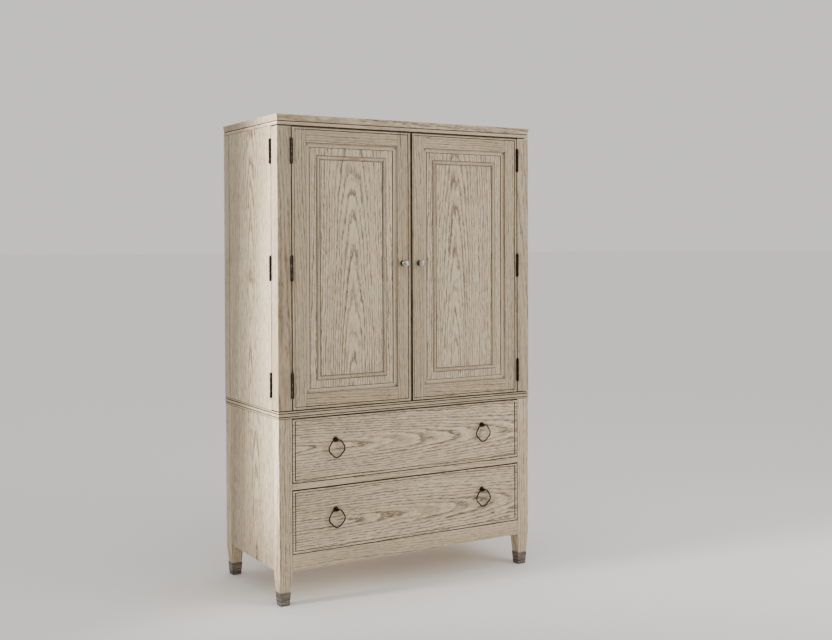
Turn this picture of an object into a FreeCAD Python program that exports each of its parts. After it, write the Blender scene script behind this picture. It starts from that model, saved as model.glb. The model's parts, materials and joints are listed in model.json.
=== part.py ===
import FreeCAD, Part
import math
import os
import re
import Sketcher
from FreeCAD import Placement, Rotation, Vector

# A door chest: a two-drawer base on tapered legs that carries a cupboard.
# The cupboard's corner posts are hinged to its sides and its doors to the posts,
# so each door swings out and then folds flat along the side.
# Millimetres, +Z up, the front faces -Y, origin at floor level in the middle of the whole box.

doc = FreeCAD.newDocument("door_chest")
NODES = []

# Driving sizes
SIZES = (
    ("overall_width", 1118.0), ("overall_height", 1778.0), ("case_depth", 518.5),
    # crown
    ("crown_overhang", 3.0), ("crown_thickness", 23.5), ("crown_taper", 4.0),
    ("crown_moulding_height", 14.5), ("crown_quirk_height", 3.0), ("crown_quirk_depth", 3.0),
    ("crown_bead_round", 2.5),
    # cupboard
    ("waist_top", 706.0), ("side_thickness", 19.0), ("rear_post_thickness", 30.0),
    ("board_thickness", 22.0), ("back_thickness", 6.0), ("back_inset", 8.0),
    ("groove_depth", 8.0), ("seam_groove_width", 2.2), ("seam_groove_depth", 2.0),
    # corner posts
    ("post_width", 54.5), ("post_depth", 55.0), ("corner_round", 1.6),
    # doors
    ("door_thickness", 22.0), ("door_gap_top", 4.0), ("door_gap_bottom", 3.0),
    ("door_gap_middle", 5.0), ("door_clearance_behind", 2.0), ("frame_width", 56.5),
    ("panel_recess", 10.0), ("panel_thickness", 6.0), ("tongue_inset", 10.0),
    ("edge_bead_width", 8.5), ("edge_bead_round", 2.0), ("quirk_width", 2.0),
    ("quirk_depth", 3.0), ("field_recess", 1.2),
    ("panel_moulding_width", 15.0), ("panel_moulding_height", 6.5), ("moulding_lip", 3.0),
    ("moulding_step", 1.5), ("cove_radius_share", 0.8), ("band_width", 31.0),
    ("panel_bead_width", 13.0),
    ("panel_bead_height", 4.0), ("panel_bead_lip", 2.5), ("panel_bead_step", 1.2),
    # shelves and catches
    ("shelf_thickness", 19.0), ("shelf_set_back", 75.0), ("shelf_end_gap", 1.5),
    ("shelf_back_gap", 2.0), ("cleat_width", 20.0), ("cleat_height", 22.0),
    ("cleat_set_back", 15.0), ("cleat_chamfer", 8.0),
    ("catch_width", 46.0), ("catch_depth", 14.0), ("catch_height", 13.0),
    ("catch_offset", 62.0), ("strike_thickness", 1.5), ("strike_height", 12.0),
    # hinges
    ("hinge_gap", 3.6), ("hinge_length", 89.0), ("hinge_inset", 89.0),
    ("barrel_radius", 4.2), ("leaf_thickness", 1.6), ("leaf_reach", 17.0),
    ("hinge_pin_radius", 2.0), ("hinge_pin_clearance", 0.06), ("knuckle_gap", 0.4),
    ("pin_end", 1.2),
    # knobs
    ("knob_reach", 30.0), ("knob_radius", 16.0), ("knob_head_depth", 14.0),
    ("knob_stem_radius", 5.0), ("knob_foot_radius", 9.0), ("knob_foot_height", 2.5),
    ("knob_inset", 34.5), ("knob_height", 1236.0), ("knob_round", 3.0),
    # base
    ("waist_height", 27.0), ("waist_width", 40.0), ("waist_bead_radius", 3.5),
    ("waist_quirk_height", 2.0), ("edge_round", 1.2), ("lower_inset", 2.5),
    ("leg_size", 52.5), ("foot_size", 33.0), ("taper_height", 125.0),
    ("ferrule_height", 48.0), ("ferrule_wall", 1.5), ("ferrule_floor", 3.0),
    ("divider_top", 441.3), ("divider_height", 22.3), ("divider_depth", 60.0),
    ("apron_height", 59.0), ("apron_thickness", 20.0),
    ("bottom_height", 140.0), ("bottom_thickness", 9.0),
    # drawers
    ("drawer_gap", 2.0), ("drawer_front_thickness", 20.0), ("drawer_side_thickness", 12.0),
    ("drawer_box_rise", 16.0), ("drawer_top_gap", 31.7), ("drawer_back_gap", 42.0),
    ("drawer_bottom_thickness", 6.0), ("drawer_bottom_rise", 12.0), ("bottom_groove", 6.0),
    # drawer slides
    ("slide_width", 12.7), ("slide_rear_seat", 16.5), ("slide_height", 45.0),
    ("slide_rise", 62.0), ("slide_sheet", 1.2), ("slide_set_back", 3.0), ("slide_play", 1.0),
    ("race_gap", 0.3), ("race_height", 3.6), ("race_width", 4.0), ("race_cover", 2.4),
    # ring pulls
    ("pull_spacing_share", 0.65), ("pull_rise", 28.0), ("pull_reach", 12.0),
    ("pull_ball_radius", 6.5), ("pull_ball_half", 5.0), ("pull_ball_bevel", 3.0),
    ("pull_stem_radius", 3.6), ("pull_foot_radius", 9.0),
    ("pull_foot_height", 2.4), ("ring_half_width", 32.5), ("ring_lobe_radius", 19.0),
    ("ring_thickness", 4.8), ("ring_eye_clearance", 0.3), ("ring_bar_half", 5.5),
)

# Places that follow from the sizes
PLACES = (
    ("front", "(knob_reach - case_depth) / 2"),
    ("back", "front + case_depth"),
    ("case_half", "overall_width / 2 - crown_overhang"),
    ("crown_base", "overall_height - crown_thickness"),
    ("cupboard_top", "crown_base - crown_moulding_height"),
    ("side_inner", "case_half - side_thickness"),
    ("rear_post_inner", "case_half - rear_post_thickness"),
    ("seam_front", "front + post_depth + hinge_gap"),
    ("rear_post_front", "back - leg_size"),
    ("back_panel_face", "back - back_inset - back_thickness"),
    ("post_inner", "case_half - post_width"),
    ("door_hinge_edge", "post_inner - hinge_gap"),
    ("door_width", "door_hinge_edge - door_gap_middle / 2"),
    ("door_middle", "(door_hinge_edge + door_gap_middle / 2) / 2"),
    ("door_low", "waist_top + door_gap_bottom"),
    ("door_high", "cupboard_top - door_gap_top"),
    ("door_height", "door_high - door_low"),
    ("door_centre", "(door_high + door_low) / 2"),
    ("opening_half_width", "door_width / 2 - frame_width"),
    ("opening_half_height", "door_height / 2 - frame_width"),
    ("stop_face", "front + door_thickness + door_clearance_behind"),
    ("floor_top", "waist_top + board_thickness"),
    ("ceiling_low", "cupboard_top - board_thickness"),
    ("crown_rail_width", "post_depth + hinge_gap + side_thickness"),
    ("waist_low", "waist_top - waist_height"),
    ("lower_half", "case_half - lower_inset"),
    ("lower_front", "front + lower_inset"),
    ("leg_inner", "lower_half - leg_size"),
    ("leg_centre", "lower_half - leg_size / 2"),
    ("lower_side_inner", "lower_half - side_thickness"),
    ("divider_low", "divider_top - divider_height"),
    ("apron_top", "taper_height + apron_height"),
    ("drawer_back_face", "lower_front + drawer_front_thickness"),
    ("drawer_half", "leg_inner - slide_width"),
    ("slide_front", "drawer_back_face + slide_set_back"),
    ("slide_length", "rear_post_front + slide_rear_seat - slide_front"),
    ("carriage_web", "slide_sheet + slide_play"),
    ("outer_race", "carriage_web + slide_sheet"),
    ("inner_race", "slide_width - slide_sheet - race_cover - race_width"),
    ("side_axis_out", "case_half + barrel_radius"),
    ("side_axis_back", "front + post_depth + hinge_gap / 2"),
    ("door_axis_out", "post_inner - hinge_gap / 2"),
    ("door_axis_front", "front - barrel_radius"),
    ("knuckle_length", "(hinge_length - 2 * knuckle_gap) / 3"),
    ("bore_radius", "(hinge_pin_radius + hinge_pin_clearance) / cos(180 / 8)"),
    ("pull_across", "leg_inner * pull_spacing_share"),
    ("eye_radius", "ring_thickness / 2 * sqrt(2) + ring_eye_clearance"),
)

sizes = doc.addObject("Spreadsheet::Sheet", "Sizes")
for row, (name, value) in enumerate(SIZES, 1):
    sizes.set(f"A{row}", name)
    sizes.set(f"B{row}", str(value))
    sizes.setAlias(f"B{row}", name)
doc.recompute()

places = doc.addObject("Spreadsheet::Sheet", "Places")
OWNER = {name: "Sizes" for name, value in SIZES}


def rule(text):
    """An expression with each named size or place led by its sheet."""
    return re.sub(
        r"[a-z][a-z_0-9]*",
        lambda word: f"{OWNER[word[0]]}.{word[0]}" if word[0] in OWNER else word[0],
        str(text),
    )


for row, (name, text) in enumerate(PLACES, 1):
    places.set(f"A{row}", name)
    places.set(f"B{row}", "=" + rule(text).replace("Places.", ""))
    places.setAlias(f"B{row}", name)
    OWNER[name] = "Places"
doc.recompute()


def worth(text):
    """What a rule comes to now."""
    return float(sizes.evalExpression(rule(text)))


def bind(thing, **rules):
    """Set properties of an object by rules; x, y and z move it, offset lifts a sketch off its plane."""
    paths = {"x": ".Placement.Base.x", "y": ".Placement.Base.y", "z": ".Placement.Base.z",
             "offset": ".AttachmentOffset.Base.z"}
    for name, text in rules.items():
        thing.setExpression(paths.get(name, name), rule(text))
    return thing


def node(thing, label):
    """Name a finished sub-part, which becomes one file."""
    thing.Label = label
    NODES.append(thing)
    return thing


# Boards and booleans


def board(name, x, y, z):
    """A squared board between two rules on each axis."""
    made = doc.addObject("Part::Box", name)
    return bind(made, x=x[0], y=y[0], z=z[0],
                Length=f"({x[1]}) - ({x[0]})", Width=f"({y[1]}) - ({y[0]})",
                Height=f"({z[1]}) - ({z[0]})")


def less(name, base, *tools):
    """The base with each tool cut out of it."""
    for index, tool in enumerate(tools):
        made = doc.addObject("Part::Cut", f"{name}_cut{index}")
        made.Base, made.Tool = base, tool
        base = made
    return base


def joined(name, *parts):
    """One solid made of parts that meet or overlap."""
    made = doc.addObject("Part::MultiFuse", name)
    made.Shapes = list(parts)
    made.Refine = True
    return made


def shared(name, one, other):
    """What two shapes have in common."""
    made = doc.addObject("Part::Common", name)
    made.Base, made.Tool = one, other
    return made


def group(name, *parts):
    """Separate solids kept together as one sub-part."""
    made = doc.addObject("Part::Compound", name)
    made.Links = list(parts)
    return made


def mirrored(name, source):
    """The same piece on the other side of the middle."""
    made = doc.addObject("Part::Mirroring", name)
    made.Source = source
    made.Normal = Vector(1, 0, 0)
    return made


def turned(name, source, axis, angle, **move):
    """A copy of a piece, turned about an axis through the origin and moved."""
    made = group(name, source)
    made.Placement = Placement(Vector(), Rotation(axis, angle))
    return bind(made, **move)


# Sketched bodies

PLANES = {"plan": "XY_Plane", "face": "XZ_Plane", "section": "YZ_Plane"}


def new_body(name):
    return doc.addObject("PartDesign::Body", name)


def fixed(sketch, name, geometry, vertex, x, y):
    """Tie a sketched point to the origin by two rules."""
    for way, text in (("DistanceX", x), ("DistanceY", y)):
        index = sketch.addConstraint(
            Sketcher.Constraint(way, -1, 1, geometry, vertex, worth(text)))
        sketch.renameConstraint(index, f"{name}_{way}")
        sketch.setExpression(f"Constraints.{name}_{way}", rule(text))


def sized(sketch, name, geometry, radius):
    """Give an arc or a circle its radius by a rule."""
    index = sketch.addConstraint(Sketcher.Constraint("Radius", geometry, worth(radius)))
    sketch.renameConstraint(index, name)
    sketch.setExpression(f"Constraints.{name}", rule(radius))


def arc_between(start, end, radius, turn):
    """The arc from start to end: turn is 1 with its centre on the left, -1 on the right."""
    chord = end - start
    rise = math.sqrt(max(radius ** 2 - (chord.Length / 2) ** 2, 0))
    left = Vector(-chord.y, chord.x, 0).normalize()
    centre = (start + end) * 0.5 + left * rise * turn
    first, last = (start, end) if turn > 0 else (end, start)
    circle = Part.Circle(centre, Vector(0, 0, 1), radius)
    return Part.ArcOfCircle(circle, circle.parameter(first), circle.parameter(last))


def add_outline(sketch, points, tag):
    """A closed outline. A point is (x, y), or (x, y, radius, turn) where an arc leaves it."""
    corners = [Vector(worth(p[0]), worth(p[1]), 0) for p in points]
    spans = []
    for index, point in enumerate(points):
        start, end = corners[index], corners[(index + 1) % len(points)]
        if len(point) == 2:
            geometry = sketch.addGeometry(Part.LineSegment(start, end), False)
            spans.append((geometry, 1, 2))
            continue
        shape = arc_between(start, end, worth(point[2]), point[3])
        geometry = sketch.addGeometry(shape, False)
        spans.append((geometry, 1, 2) if point[3] > 0 else (geometry, 2, 1))
    for index, (geometry, begin, finish) in enumerate(spans):
        other, other_begin, other_finish = spans[(index + 1) % len(spans)]
        sketch.addConstraint(
            Sketcher.Constraint("Coincident", geometry, finish, other, other_begin))
        fixed(sketch, f"{tag}{index}", geometry, begin, points[index][0], points[index][1])
        if len(points[index]) > 2:
            sized(sketch, f"{tag}{index}_radius", geometry, points[index][2])


def sketched(body, plane, outlines=(), circles=(), offset=None, name="outline"):
    """A sketch on one of the body's own planes."""
    made = body.newObject("Sketcher::SketchObject", f"{body.Name}_{name}")
    role = PLANES[plane]
    made.AttachmentSupport = (
        [f for f in body.Origin.OriginFeatures if f.Role == role][0], [""])
    made.MapMode = "FlatFace"
    if offset is not None:
        bind(made, offset=offset)
    for index, points in enumerate(outlines):
        add_outline(made, points, "abcdefgh"[index])
    for index, (x, y, radius) in enumerate(circles):
        geometry = made.addGeometry(
            Part.Circle(Vector(worth(x), worth(y), 0), Vector(0, 0, 1), worth(radius)), False)
        fixed(made, f"circle{index}", geometry, 3, x, y)
        sized(made, f"circle{index}_radius", geometry, radius)
    return made


def rectangle(x, y):
    """The four corners between two rules each way."""
    return [(x[0], y[0]), (x[1], y[0]), (x[1], y[1]), (x[0], y[1])]


def both_sides(points):
    """A closed outline from its right half."""
    return list(points) + [(f"-({x})", y) for x, y in reversed(points)]


def pad(body, sketch, length, other_way=False, middle=False):
    made = body.newObject("PartDesign::Pad", f"{body.Name}_pad")
    made.Profile = sketch
    made.Reversed = other_way
    made.Midplane = middle
    bind(made, Length=length)
    doc.recompute()
    return made


def pocket(body, sketch, depth=None):
    """Cut a sketch into the body to a depth, or right through both ways with none."""
    before = body.Shape.Volume
    made = body.newObject("PartDesign::Pocket", f"{body.Name}_pocket")
    made.Profile = sketch
    if depth is None:
        made.Type = "ThroughAll"
        made.Midplane = True
    else:
        bind(made, Length=depth)
    doc.recompute()
    if not body.Shape.Volume < before:
        raise RuntimeError(f"{made.Name} cuts nothing")
    return made


def revolved(body, sketch, axis="V_Axis"):
    made = body.newObject("PartDesign::Revolution", f"{body.Name}_turning")
    made.Profile = sketch
    made.ReferenceAxis = (sketch, [axis])
    made.Angle = 360
    doc.recompute()
    return made


def rounded(body, test, radius):
    """Round the edges of the body whose ends and middle all pass the test."""
    tip = body.Tip
    names = []
    for index, edge in enumerate(tip.Shape.Edges, 1):
        middle = edge.valueAt((edge.FirstParameter + edge.LastParameter) / 2)
        if all(test(point) for point in [v.Point for v in edge.Vertexes] + [middle]):
            names.append(f"Edge{index}")
    made = body.newObject("PartDesign::Fillet", f"{body.Name}_round")
    made.Base = (tip, names)
    bind(made, Radius=radius)
    doc.recompute()
    return made


def near(one, other):
    return abs(one - other) < 1e-4


# Shared forms


def beaded_slab(name, half_width, half_height, thickness):
    """A slab with a rounded bead round its front edge, a quirk inside it and a sunk field."""
    body = new_body(name)
    across, up = half_width, half_height
    pad(body, sketched(body, "face", [rectangle((f"-({across})", across), (f"-({up})", up))]),
        thickness, other_way=True)

    def inset(by):
        return rectangle((f"-({across}) + {by}", f"({across}) - {by}"),
                         (f"-({up}) + {by}", f"({up}) - {by}"))

    quirk = sketched(body, "face", name="quirk", outlines=[
        inset("edge_bead_width"), inset("(edge_bead_width + quirk_width)")])
    pocket(body, quirk, "quirk_depth")
    field = sketched(body, "face", [inset("(edge_bead_width + quirk_width)")], name="field")
    pocket(body, field, "field_recess")
    rounded(body, lambda point: near(point.y, 0) and (
        near(abs(point.x), worth(across)) or near(abs(point.z), worth(up))), "edge_bead_round")
    return body


def moulding(name, length, width, profile, mitres=(1, 1), square_end="0"):
    """A moulded strip along X: its outer edge is at y 0, its back on z 0, its ends mitred."""
    body = new_body(name)
    section = sketched(body, "section", [profile])
    pad(body, section, length, middle=True)
    half = f"({length}) / 2"
    ends = []
    if mitres[0]:
        ends.append([(f"-{half}", "0"), (f"-{half} + {width}", f"-({width})"),
                     (f"-{half}", f"-({width})")])
    if mitres[1]:
        ends.append([(half, "0"), (f"{half} - {width}", f"-({width})"), (half, f"-({width})")])
    pocket(body, sketched(body, "plan", ends, name="mitres"))
    return body


def mitred_frame(name, half_width, half_height, width, profile):
    """Four mitred strips round a rectangle that faces -Y, centred on the origin."""
    level = moulding(f"{name}_level", f"2 * ({half_width})", width, profile)
    upright = moulding(f"{name}_upright", f"2 * ({half_height})", width, profile)
    facing = Rotation(Vector(1, 0, 0), 90)
    strips = []
    for quarter, (strip, reach) in enumerate(
            ((level, half_height), (upright, half_width), (level, half_height),
             (upright, half_width))):
        made = group(f"{name}_strip{quarter}", strip)
        spin = Rotation(Vector(0, 1, 0), -90 * quarter)
        made.Placement = Placement(Vector(), spin.multiply(facing))
        out = spin.multVec(Vector(0, 0, 1))
        if abs(out.x) > abs(out.z):
            bind(made, x=f"{round(out.x)} * ({reach})")
        else:
            bind(made, z=f"{round(out.z)} * ({reach})")
        strips.append(made)
    return group(name, *strips)


# Crown


def crown():
    slab = new_body("crown_slab")
    low, high = "(case_half + crown_overhang - crown_taper)", "(case_half + crown_overhang)"
    pad(slab, sketched(slab, "face", [[(f"-{low}", "crown_base"), (low, "crown_base"),
                                       (high, "overall_height"),
                                       (f"-{high}", "overall_height")]], offset="-back"),
        "case_depth + crown_overhang")
    lip = [("front - crown_overhang", "crown_base"),
           ("front - crown_overhang + crown_taper", "crown_base"),
           ("front - crown_overhang", "overall_height")]
    pocket(slab, sketched(slab, "section", [lip], name="lip"))
    rounded(slab, lambda point: near(point.z, worth("overall_height"))
            and not near(point.y, worth("back")), "edge_round")
    node(slab, "crown_top")

    profile = [("-crown_rail_width", "0"), ("-crown_bead_round", "0", "crown_bead_round", 1),
               ("0", "crown_bead_round"), ("0", "crown_moulding_height - crown_quirk_height"),
               ("-crown_quirk_depth", "crown_moulding_height - crown_quirk_height"),
               ("-crown_quirk_depth", "crown_moulding_height"),
               ("-crown_rail_width", "crown_moulding_height")]
    rail = board("crown_back_rail", ("-case_half + crown_rail_width",
                                     "case_half - crown_rail_width"),
                 ("back - side_thickness", "back"), ("cupboard_top", "crown_base"))
    node(surround("crown_strips", "crown_rail_width", profile, "cupboard_top", rail),
         "crown_moulding")


def surround(name, width, profile, level, *more):
    """A moulding round the front and both sides, mitred at the two front corners."""
    long = moulding(f"{name}_long", "2 * case_half", width, profile)
    ahead = turned(f"{name}_front", long, Vector(0, 0, 1), 180, y="front", z=level)
    short = moulding(f"{name}_short", "case_depth", width, profile, mitres=(1, 0))
    left = turned(f"{name}_left", short, Vector(0, 0, 1), 90,
                  x="-case_half", y="front + case_depth / 2", z=level)
    return group(name, ahead, left, mirrored(f"{name}_right", left), *more)


crown()

# Cupboard carcass


SHELF_HEIGHTS = ("(floor_top + (ceiling_low - floor_top) / 3)",
                 "(floor_top + (ceiling_low - floor_top) * 2 / 3)")

side_plank = board("upper_side_board", ("-case_half", "-side_inner"),
                   ("seam_front", "rear_post_front"), ("waist_top", "cupboard_top"))
side_seam = board("upper_side_seam", ("-case_half", "-case_half + seam_groove_depth"),
                  ("rear_post_front - seam_groove_width", "rear_post_front"),
                  ("waist_top", "cupboard_top"))
upper_side = less("upper_side", side_plank, side_seam)
node(upper_side, "upper_side_left")
node(mirrored("upper_side_mirror", upper_side), "upper_side_right")

back_panel = board("upper_back_sheet", ("-rear_post_inner - groove_depth",
                                        "rear_post_inner + groove_depth"),
                   ("back_panel_face", "back_panel_face + back_thickness"),
                   ("waist_top", "cupboard_top"))
rear_post = less("rear_post", board(
    "rear_post_board", ("-case_half", "-rear_post_inner"), ("rear_post_front", "back"),
    ("waist_top", "cupboard_top")), back_panel)
node(group("rear_posts", rear_post, mirrored("rear_post_mirror", rear_post)),
     "upper_rear_posts")


def deck(name, low):
    """A board that fills the cupboard from the back panel to the door stop."""
    body = new_body(name)
    half = [("post_inner - door_gap_bottom", "stop_face"),
            ("post_inner - door_gap_bottom", "seam_front"), ("side_inner", "seam_front"),
            ("side_inner", "rear_post_front"), ("rear_post_inner", "rear_post_front"),
            ("rear_post_inner", "back_panel_face")]
    pad(body, sketched(body, "plan", [both_sides(half)], offset=low), "board_thickness")
    return body


node(deck("floor_board", "waist_top"), "upper_floor")
node(deck("ceiling_board", "ceiling_low"), "upper_ceiling")
node(back_panel, "upper_back_panel")


def shelf(name, height):
    body = new_body(name)
    edge = "side_inner - shelf_end_gap"
    half = [(edge, "front + shelf_set_back"), (edge, "rear_post_front - shelf_end_gap"),
            ("rear_post_inner - shelf_end_gap", "rear_post_front - shelf_end_gap"),
            ("rear_post_inner - shelf_end_gap", "back_panel_face - shelf_back_gap")]
    pad(body, sketched(body, "plan", [both_sides(half)], offset=height), "shelf_thickness")
    return body


node(group("shelf_pair", *[shelf(f"shelf_{i}", height)
                           for i, height in enumerate(SHELF_HEIGHTS)]), "shelves")


def cleat(name, height):
    """The batten that a shelf rests on, chamfered at its front lower corner."""
    body = new_body(name)
    near_y, far_y = "front + shelf_set_back + cleat_set_back", "rear_post_front"
    side_view = [(near_y, f"{height} - cleat_height + cleat_chamfer"),
                 (f"{near_y} + cleat_chamfer", f"{height} - cleat_height"),
                 (far_y, f"{height} - cleat_height"), (far_y, height), (near_y, height)]
    pad(body, sketched(body, "section", [side_view], offset="-side_inner"), "cleat_width")
    return body


cleats = []
for index, height in enumerate(SHELF_HEIGHTS):
    left_cleat = cleat(f"cleat_{index}", height)
    cleats += [left_cleat, mirrored(f"cleat_mirror_{index}", left_cleat)]
node(group("cleat_group", *cleats), "shelf_cleats")

catch = board("catch_case", ("-catch_offset - catch_width / 2", "-catch_offset + catch_width / 2"),
              ("stop_face", "stop_face + catch_depth"),
              ("ceiling_low - catch_height", "ceiling_low"))
node(group("catch_pair", catch, mirrored("catch_mirror", catch)), "door_catches")

# Hinges: the same three-knuckle butt hinge on both seams, with eight-sided barrels and pins


def octagon(radius):
    """Eight corners at a radius about the origin, with a flat towards each axis."""
    return [(f"({radius}) * cos({angle})", f"({radius}) * sin({angle})")
            for angle in [22.5 + 45 * step for step in range(8)]]


def hinge_leaf(name, side, middle):
    """A leaf beside the pin's axis on one side, with the middle knuckle or the two outer ones."""
    body = new_body(name)
    across = (f"{side} * (hinge_gap / 2 - leaf_thickness)", f"{side} * hinge_gap / 2")
    clear = "barrel_radius + knuckle_gap"
    plate = sketched(body, "plan", [rectangle(across, (clear, "barrel_radius + leaf_reach"))])
    pad(body, plate, "hinge_length", middle=True)
    start = "-knuckle_length / 2" if middle else "-hinge_length / 2"
    neck = sketched(body, "plan", [rectangle(across, ("bore_radius + knuckle_gap", clear))],
                    offset=start, name="neck")
    ring = sketched(body, "plan", [octagon("barrel_radius"), octagon("bore_radius")],
                    offset=start, name="ring")
    knuckle = [pad(body, neck, "knuckle_length"), pad(body, ring, "knuckle_length")]
    if not middle:
        pattern = body.newObject("PartDesign::LinearPattern", f"{name}_knuckles")
        pattern.Originals = knuckle
        pattern.Direction = (plate, ["N_Axis"])
        pattern.Occurrences = 2
        bind(pattern, Length="hinge_length - knuckle_length")
        body.Tip = pattern
        doc.recompute()
    return body


def hinge_pin(name):
    body = new_body(name)
    pad(body, sketched(body, "plan", [octagon("hinge_pin_radius")]),
        "hinge_length + 2 * pin_end", middle=True)
    return body


fixed_leaf = hinge_leaf("fixed_leaf", -1, middle=False)
moving_leaf = hinge_leaf("moving_leaf", 1, middle=True)
pin_blank = hinge_pin("hinge_pin_blank")
HINGE_LEVELS = ("door_low + hinge_inset", "door_centre", "door_high - hinge_inset")


def three(name, source, angle, x, y):
    """Three copies of a hinge piece, one at each hinge."""
    return [turned(f"{name}_{index}", source, Vector(0, 0, 1), angle, x=x, y=y, z=level)
            for index, level in enumerate(HINGE_LEVELS)]


SIDE_AXIS = ("-side_axis_out", "side_axis_back")
DOOR_AXIS = ("-door_axis_out", "door_axis_front")

case_leaves = group("case_leaf_set", *three("case_leaf", fixed_leaf, -90, *SIDE_AXIS),
                    *three("case_pin", pin_blank, -90, *SIDE_AXIS))
node(group("case_hinges", case_leaves, mirrored("case_leaf_mirror", case_leaves)),
     "case_hinge_leaves")
post_leaves = group("post_leaf_set", *three("post_side_leaf", moving_leaf, -90, *SIDE_AXIS),
                    *three("post_door_leaf", fixed_leaf, 0, *DOOR_AXIS),
                    *three("post_door_pin", pin_blank, 0, *DOOR_AXIS))
node(post_leaves, "left_post_hinge_leaves")
node(mirrored("post_leaf_mirror", post_leaves), "right_post_hinge_leaves")
door_leaves = group("door_leaf_set", *three("door_leaf", moving_leaf, 0, *DOOR_AXIS))
node(door_leaves, "left_door_hinge_leaves")
node(mirrored("door_leaf_mirror", door_leaves), "right_door_hinge_leaves")

# Corner posts


def corner_post():
    body = new_body("corner_post_body")
    pad(body, sketched(body, "plan", [rectangle(
        ("-case_half", "-post_inner"), ("front", "front + post_depth"))], offset="door_low"),
        "door_height")
    rounded(body, lambda point: near(point.y, worth("front")) and (
        near(point.x, worth("-case_half")) or near(point.x, worth("-post_inner"))),
        "corner_round")
    return body


corner = corner_post()
node(corner, "left_corner_post")
node(mirrored("corner_mirror", corner), "right_corner_post")

# Doors


def door():
    """The left door's pieces, made round the door's own middle and then moved."""
    reach_x, reach_z = "opening_half_width", "opening_half_height"
    slab = beaded_slab("door_slab", "door_width / 2", "door_height / 2", "door_thickness")
    window = board("door_window", (f"-{reach_x}", reach_x), ("-door_thickness", "2 * door_thickness"),
                   (f"-{reach_z}", reach_z))
    sheet = board("door_sheet", (f"-{reach_x} - groove_depth", f"{reach_x} + groove_depth"),
                  ("panel_recess", "panel_recess + panel_thickness"),
                  (f"-{reach_z} - groove_depth", f"{reach_z} + groove_depth"))
    frame = less("door_frame", slab, window, sheet)
    tongues, stiles = [], []
    for side in (-1, 1):
        inner, outer = f"{side} * {reach_x}", f"{side} * door_width"
        low, high = (outer, inner) if side < 0 else (inner, outer)
        stiles.append(board(f"stile_zone{side + 1}", (low, high),
                            ("-door_thickness", "2 * door_thickness"),
                            ("-door_height", "door_height")))
        for end in (-1, 1):
            near_z = f"{end} * ({reach_z} + groove_depth)"
            far_z = f"{end} * (door_height / 2 - tongue_inset)"
            near_x, far_x = inner, f"{side} * ({reach_x} + groove_depth)"
            tongues.append(board(
                f"tongue{side + 1}{end + 1}",
                (near_x, far_x) if side > 0 else (far_x, near_x),
                ("panel_recess", "panel_recess + panel_thickness"),
                (near_z, far_z) if end > 0 else (far_z, near_z)))
    tongue_set = group("tongue_set", *tongues)
    stile_zone = group("stile_zone", *stiles)
    stile_pair = less("stile_pair", shared("stile_cut", frame, stile_zone), tongue_set)
    rail_pair = joined("rail_pair", less("rail_cut", frame, stile_zone), *tongues)

    top, cove = "panel_moulding_height", "(panel_moulding_width - 2 * moulding_lip)"
    outer_profile = [
        ("-panel_moulding_width", "0"), ("0", "0"), ("0", top), ("-moulding_lip", top),
        ("-moulding_lip", f"{top} - moulding_step", f"{cove} * cove_radius_share", -1),
        (f"-moulding_lip - {cove}", "moulding_step"), ("-panel_moulding_width", "moulding_step")]
    outer_frame = mitred_frame("outer_frame", reach_x, reach_z, "panel_moulding_width",
                               outer_profile)
    rise, half = "(panel_bead_height - panel_bead_step)", "(panel_bead_width / 2 - panel_bead_lip)"
    bead_profile = [
        ("-panel_bead_width", "0"), ("0", "0"), ("0", "panel_bead_step"),
        ("-panel_bead_lip", "panel_bead_step", f"({half} ^ 2 + {rise} ^ 2) / (2 * {rise})", 1),
        ("-panel_bead_width + panel_bead_lip", "panel_bead_step"),
        ("-panel_bead_width", "panel_bead_step")]
    inset = "(panel_moulding_width + band_width)"
    inner_frame = mitred_frame("inner_frame", f"{reach_x} - {inset}", f"{reach_z} - {inset}",
                               "panel_bead_width", bead_profile)
    trims = group("door_trims", outer_frame, inner_frame)

    knob = new_body("knob_turning")
    stem = "knob_stem_radius"
    neck = "(knob_reach - knob_head_depth)"
    half_view = [
        ("0", "field_recess"), ("knob_foot_radius", "field_recess"),
        ("knob_foot_radius", "-knob_foot_height"), (stem, "-knob_foot_height"),
        (stem, f"-{neck}"), ("knob_radius", f"-{neck}"),
        ("knob_radius", "-knob_reach + knob_round"),
        ("knob_radius - knob_round", "-knob_reach"), ("0", "-knob_reach")]
    revolved(knob, sketched(knob, "plan", [half_view]))

    strike = board("strike_plate", ("-catch_offset - catch_width / 2",
                                    "-catch_offset + catch_width / 2"),
                   ("front + door_thickness", "front + door_thickness + strike_thickness"),
                   ("ceiling_low - strike_height", "ceiling_low"))

    pieces = {"door_stiles": stile_pair, "door_rails": rail_pair, "door_panel": sheet,
              "door_mouldings": trims}
    for label, piece in pieces.items():
        lift = "panel_recess" if piece is trims else "0"
        made = turned(f"left_{label}_placed", piece, Vector(0, 0, 1), 0,
                      x="-door_middle", y=f"front + {lift}", z="door_centre")
        node(made, f"left_{label}")
        node(mirrored(f"right_{label}_mirror", made), f"right_{label}")
    bind(knob, x="-door_gap_middle / 2 - knob_inset", y="front", z="knob_height")
    fittings = group("door_fittings", knob, strike)
    node(fittings, "left_door_fittings")
    node(mirrored("fittings_mirror", fittings), "right_door_fittings")


door()

# Base


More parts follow.
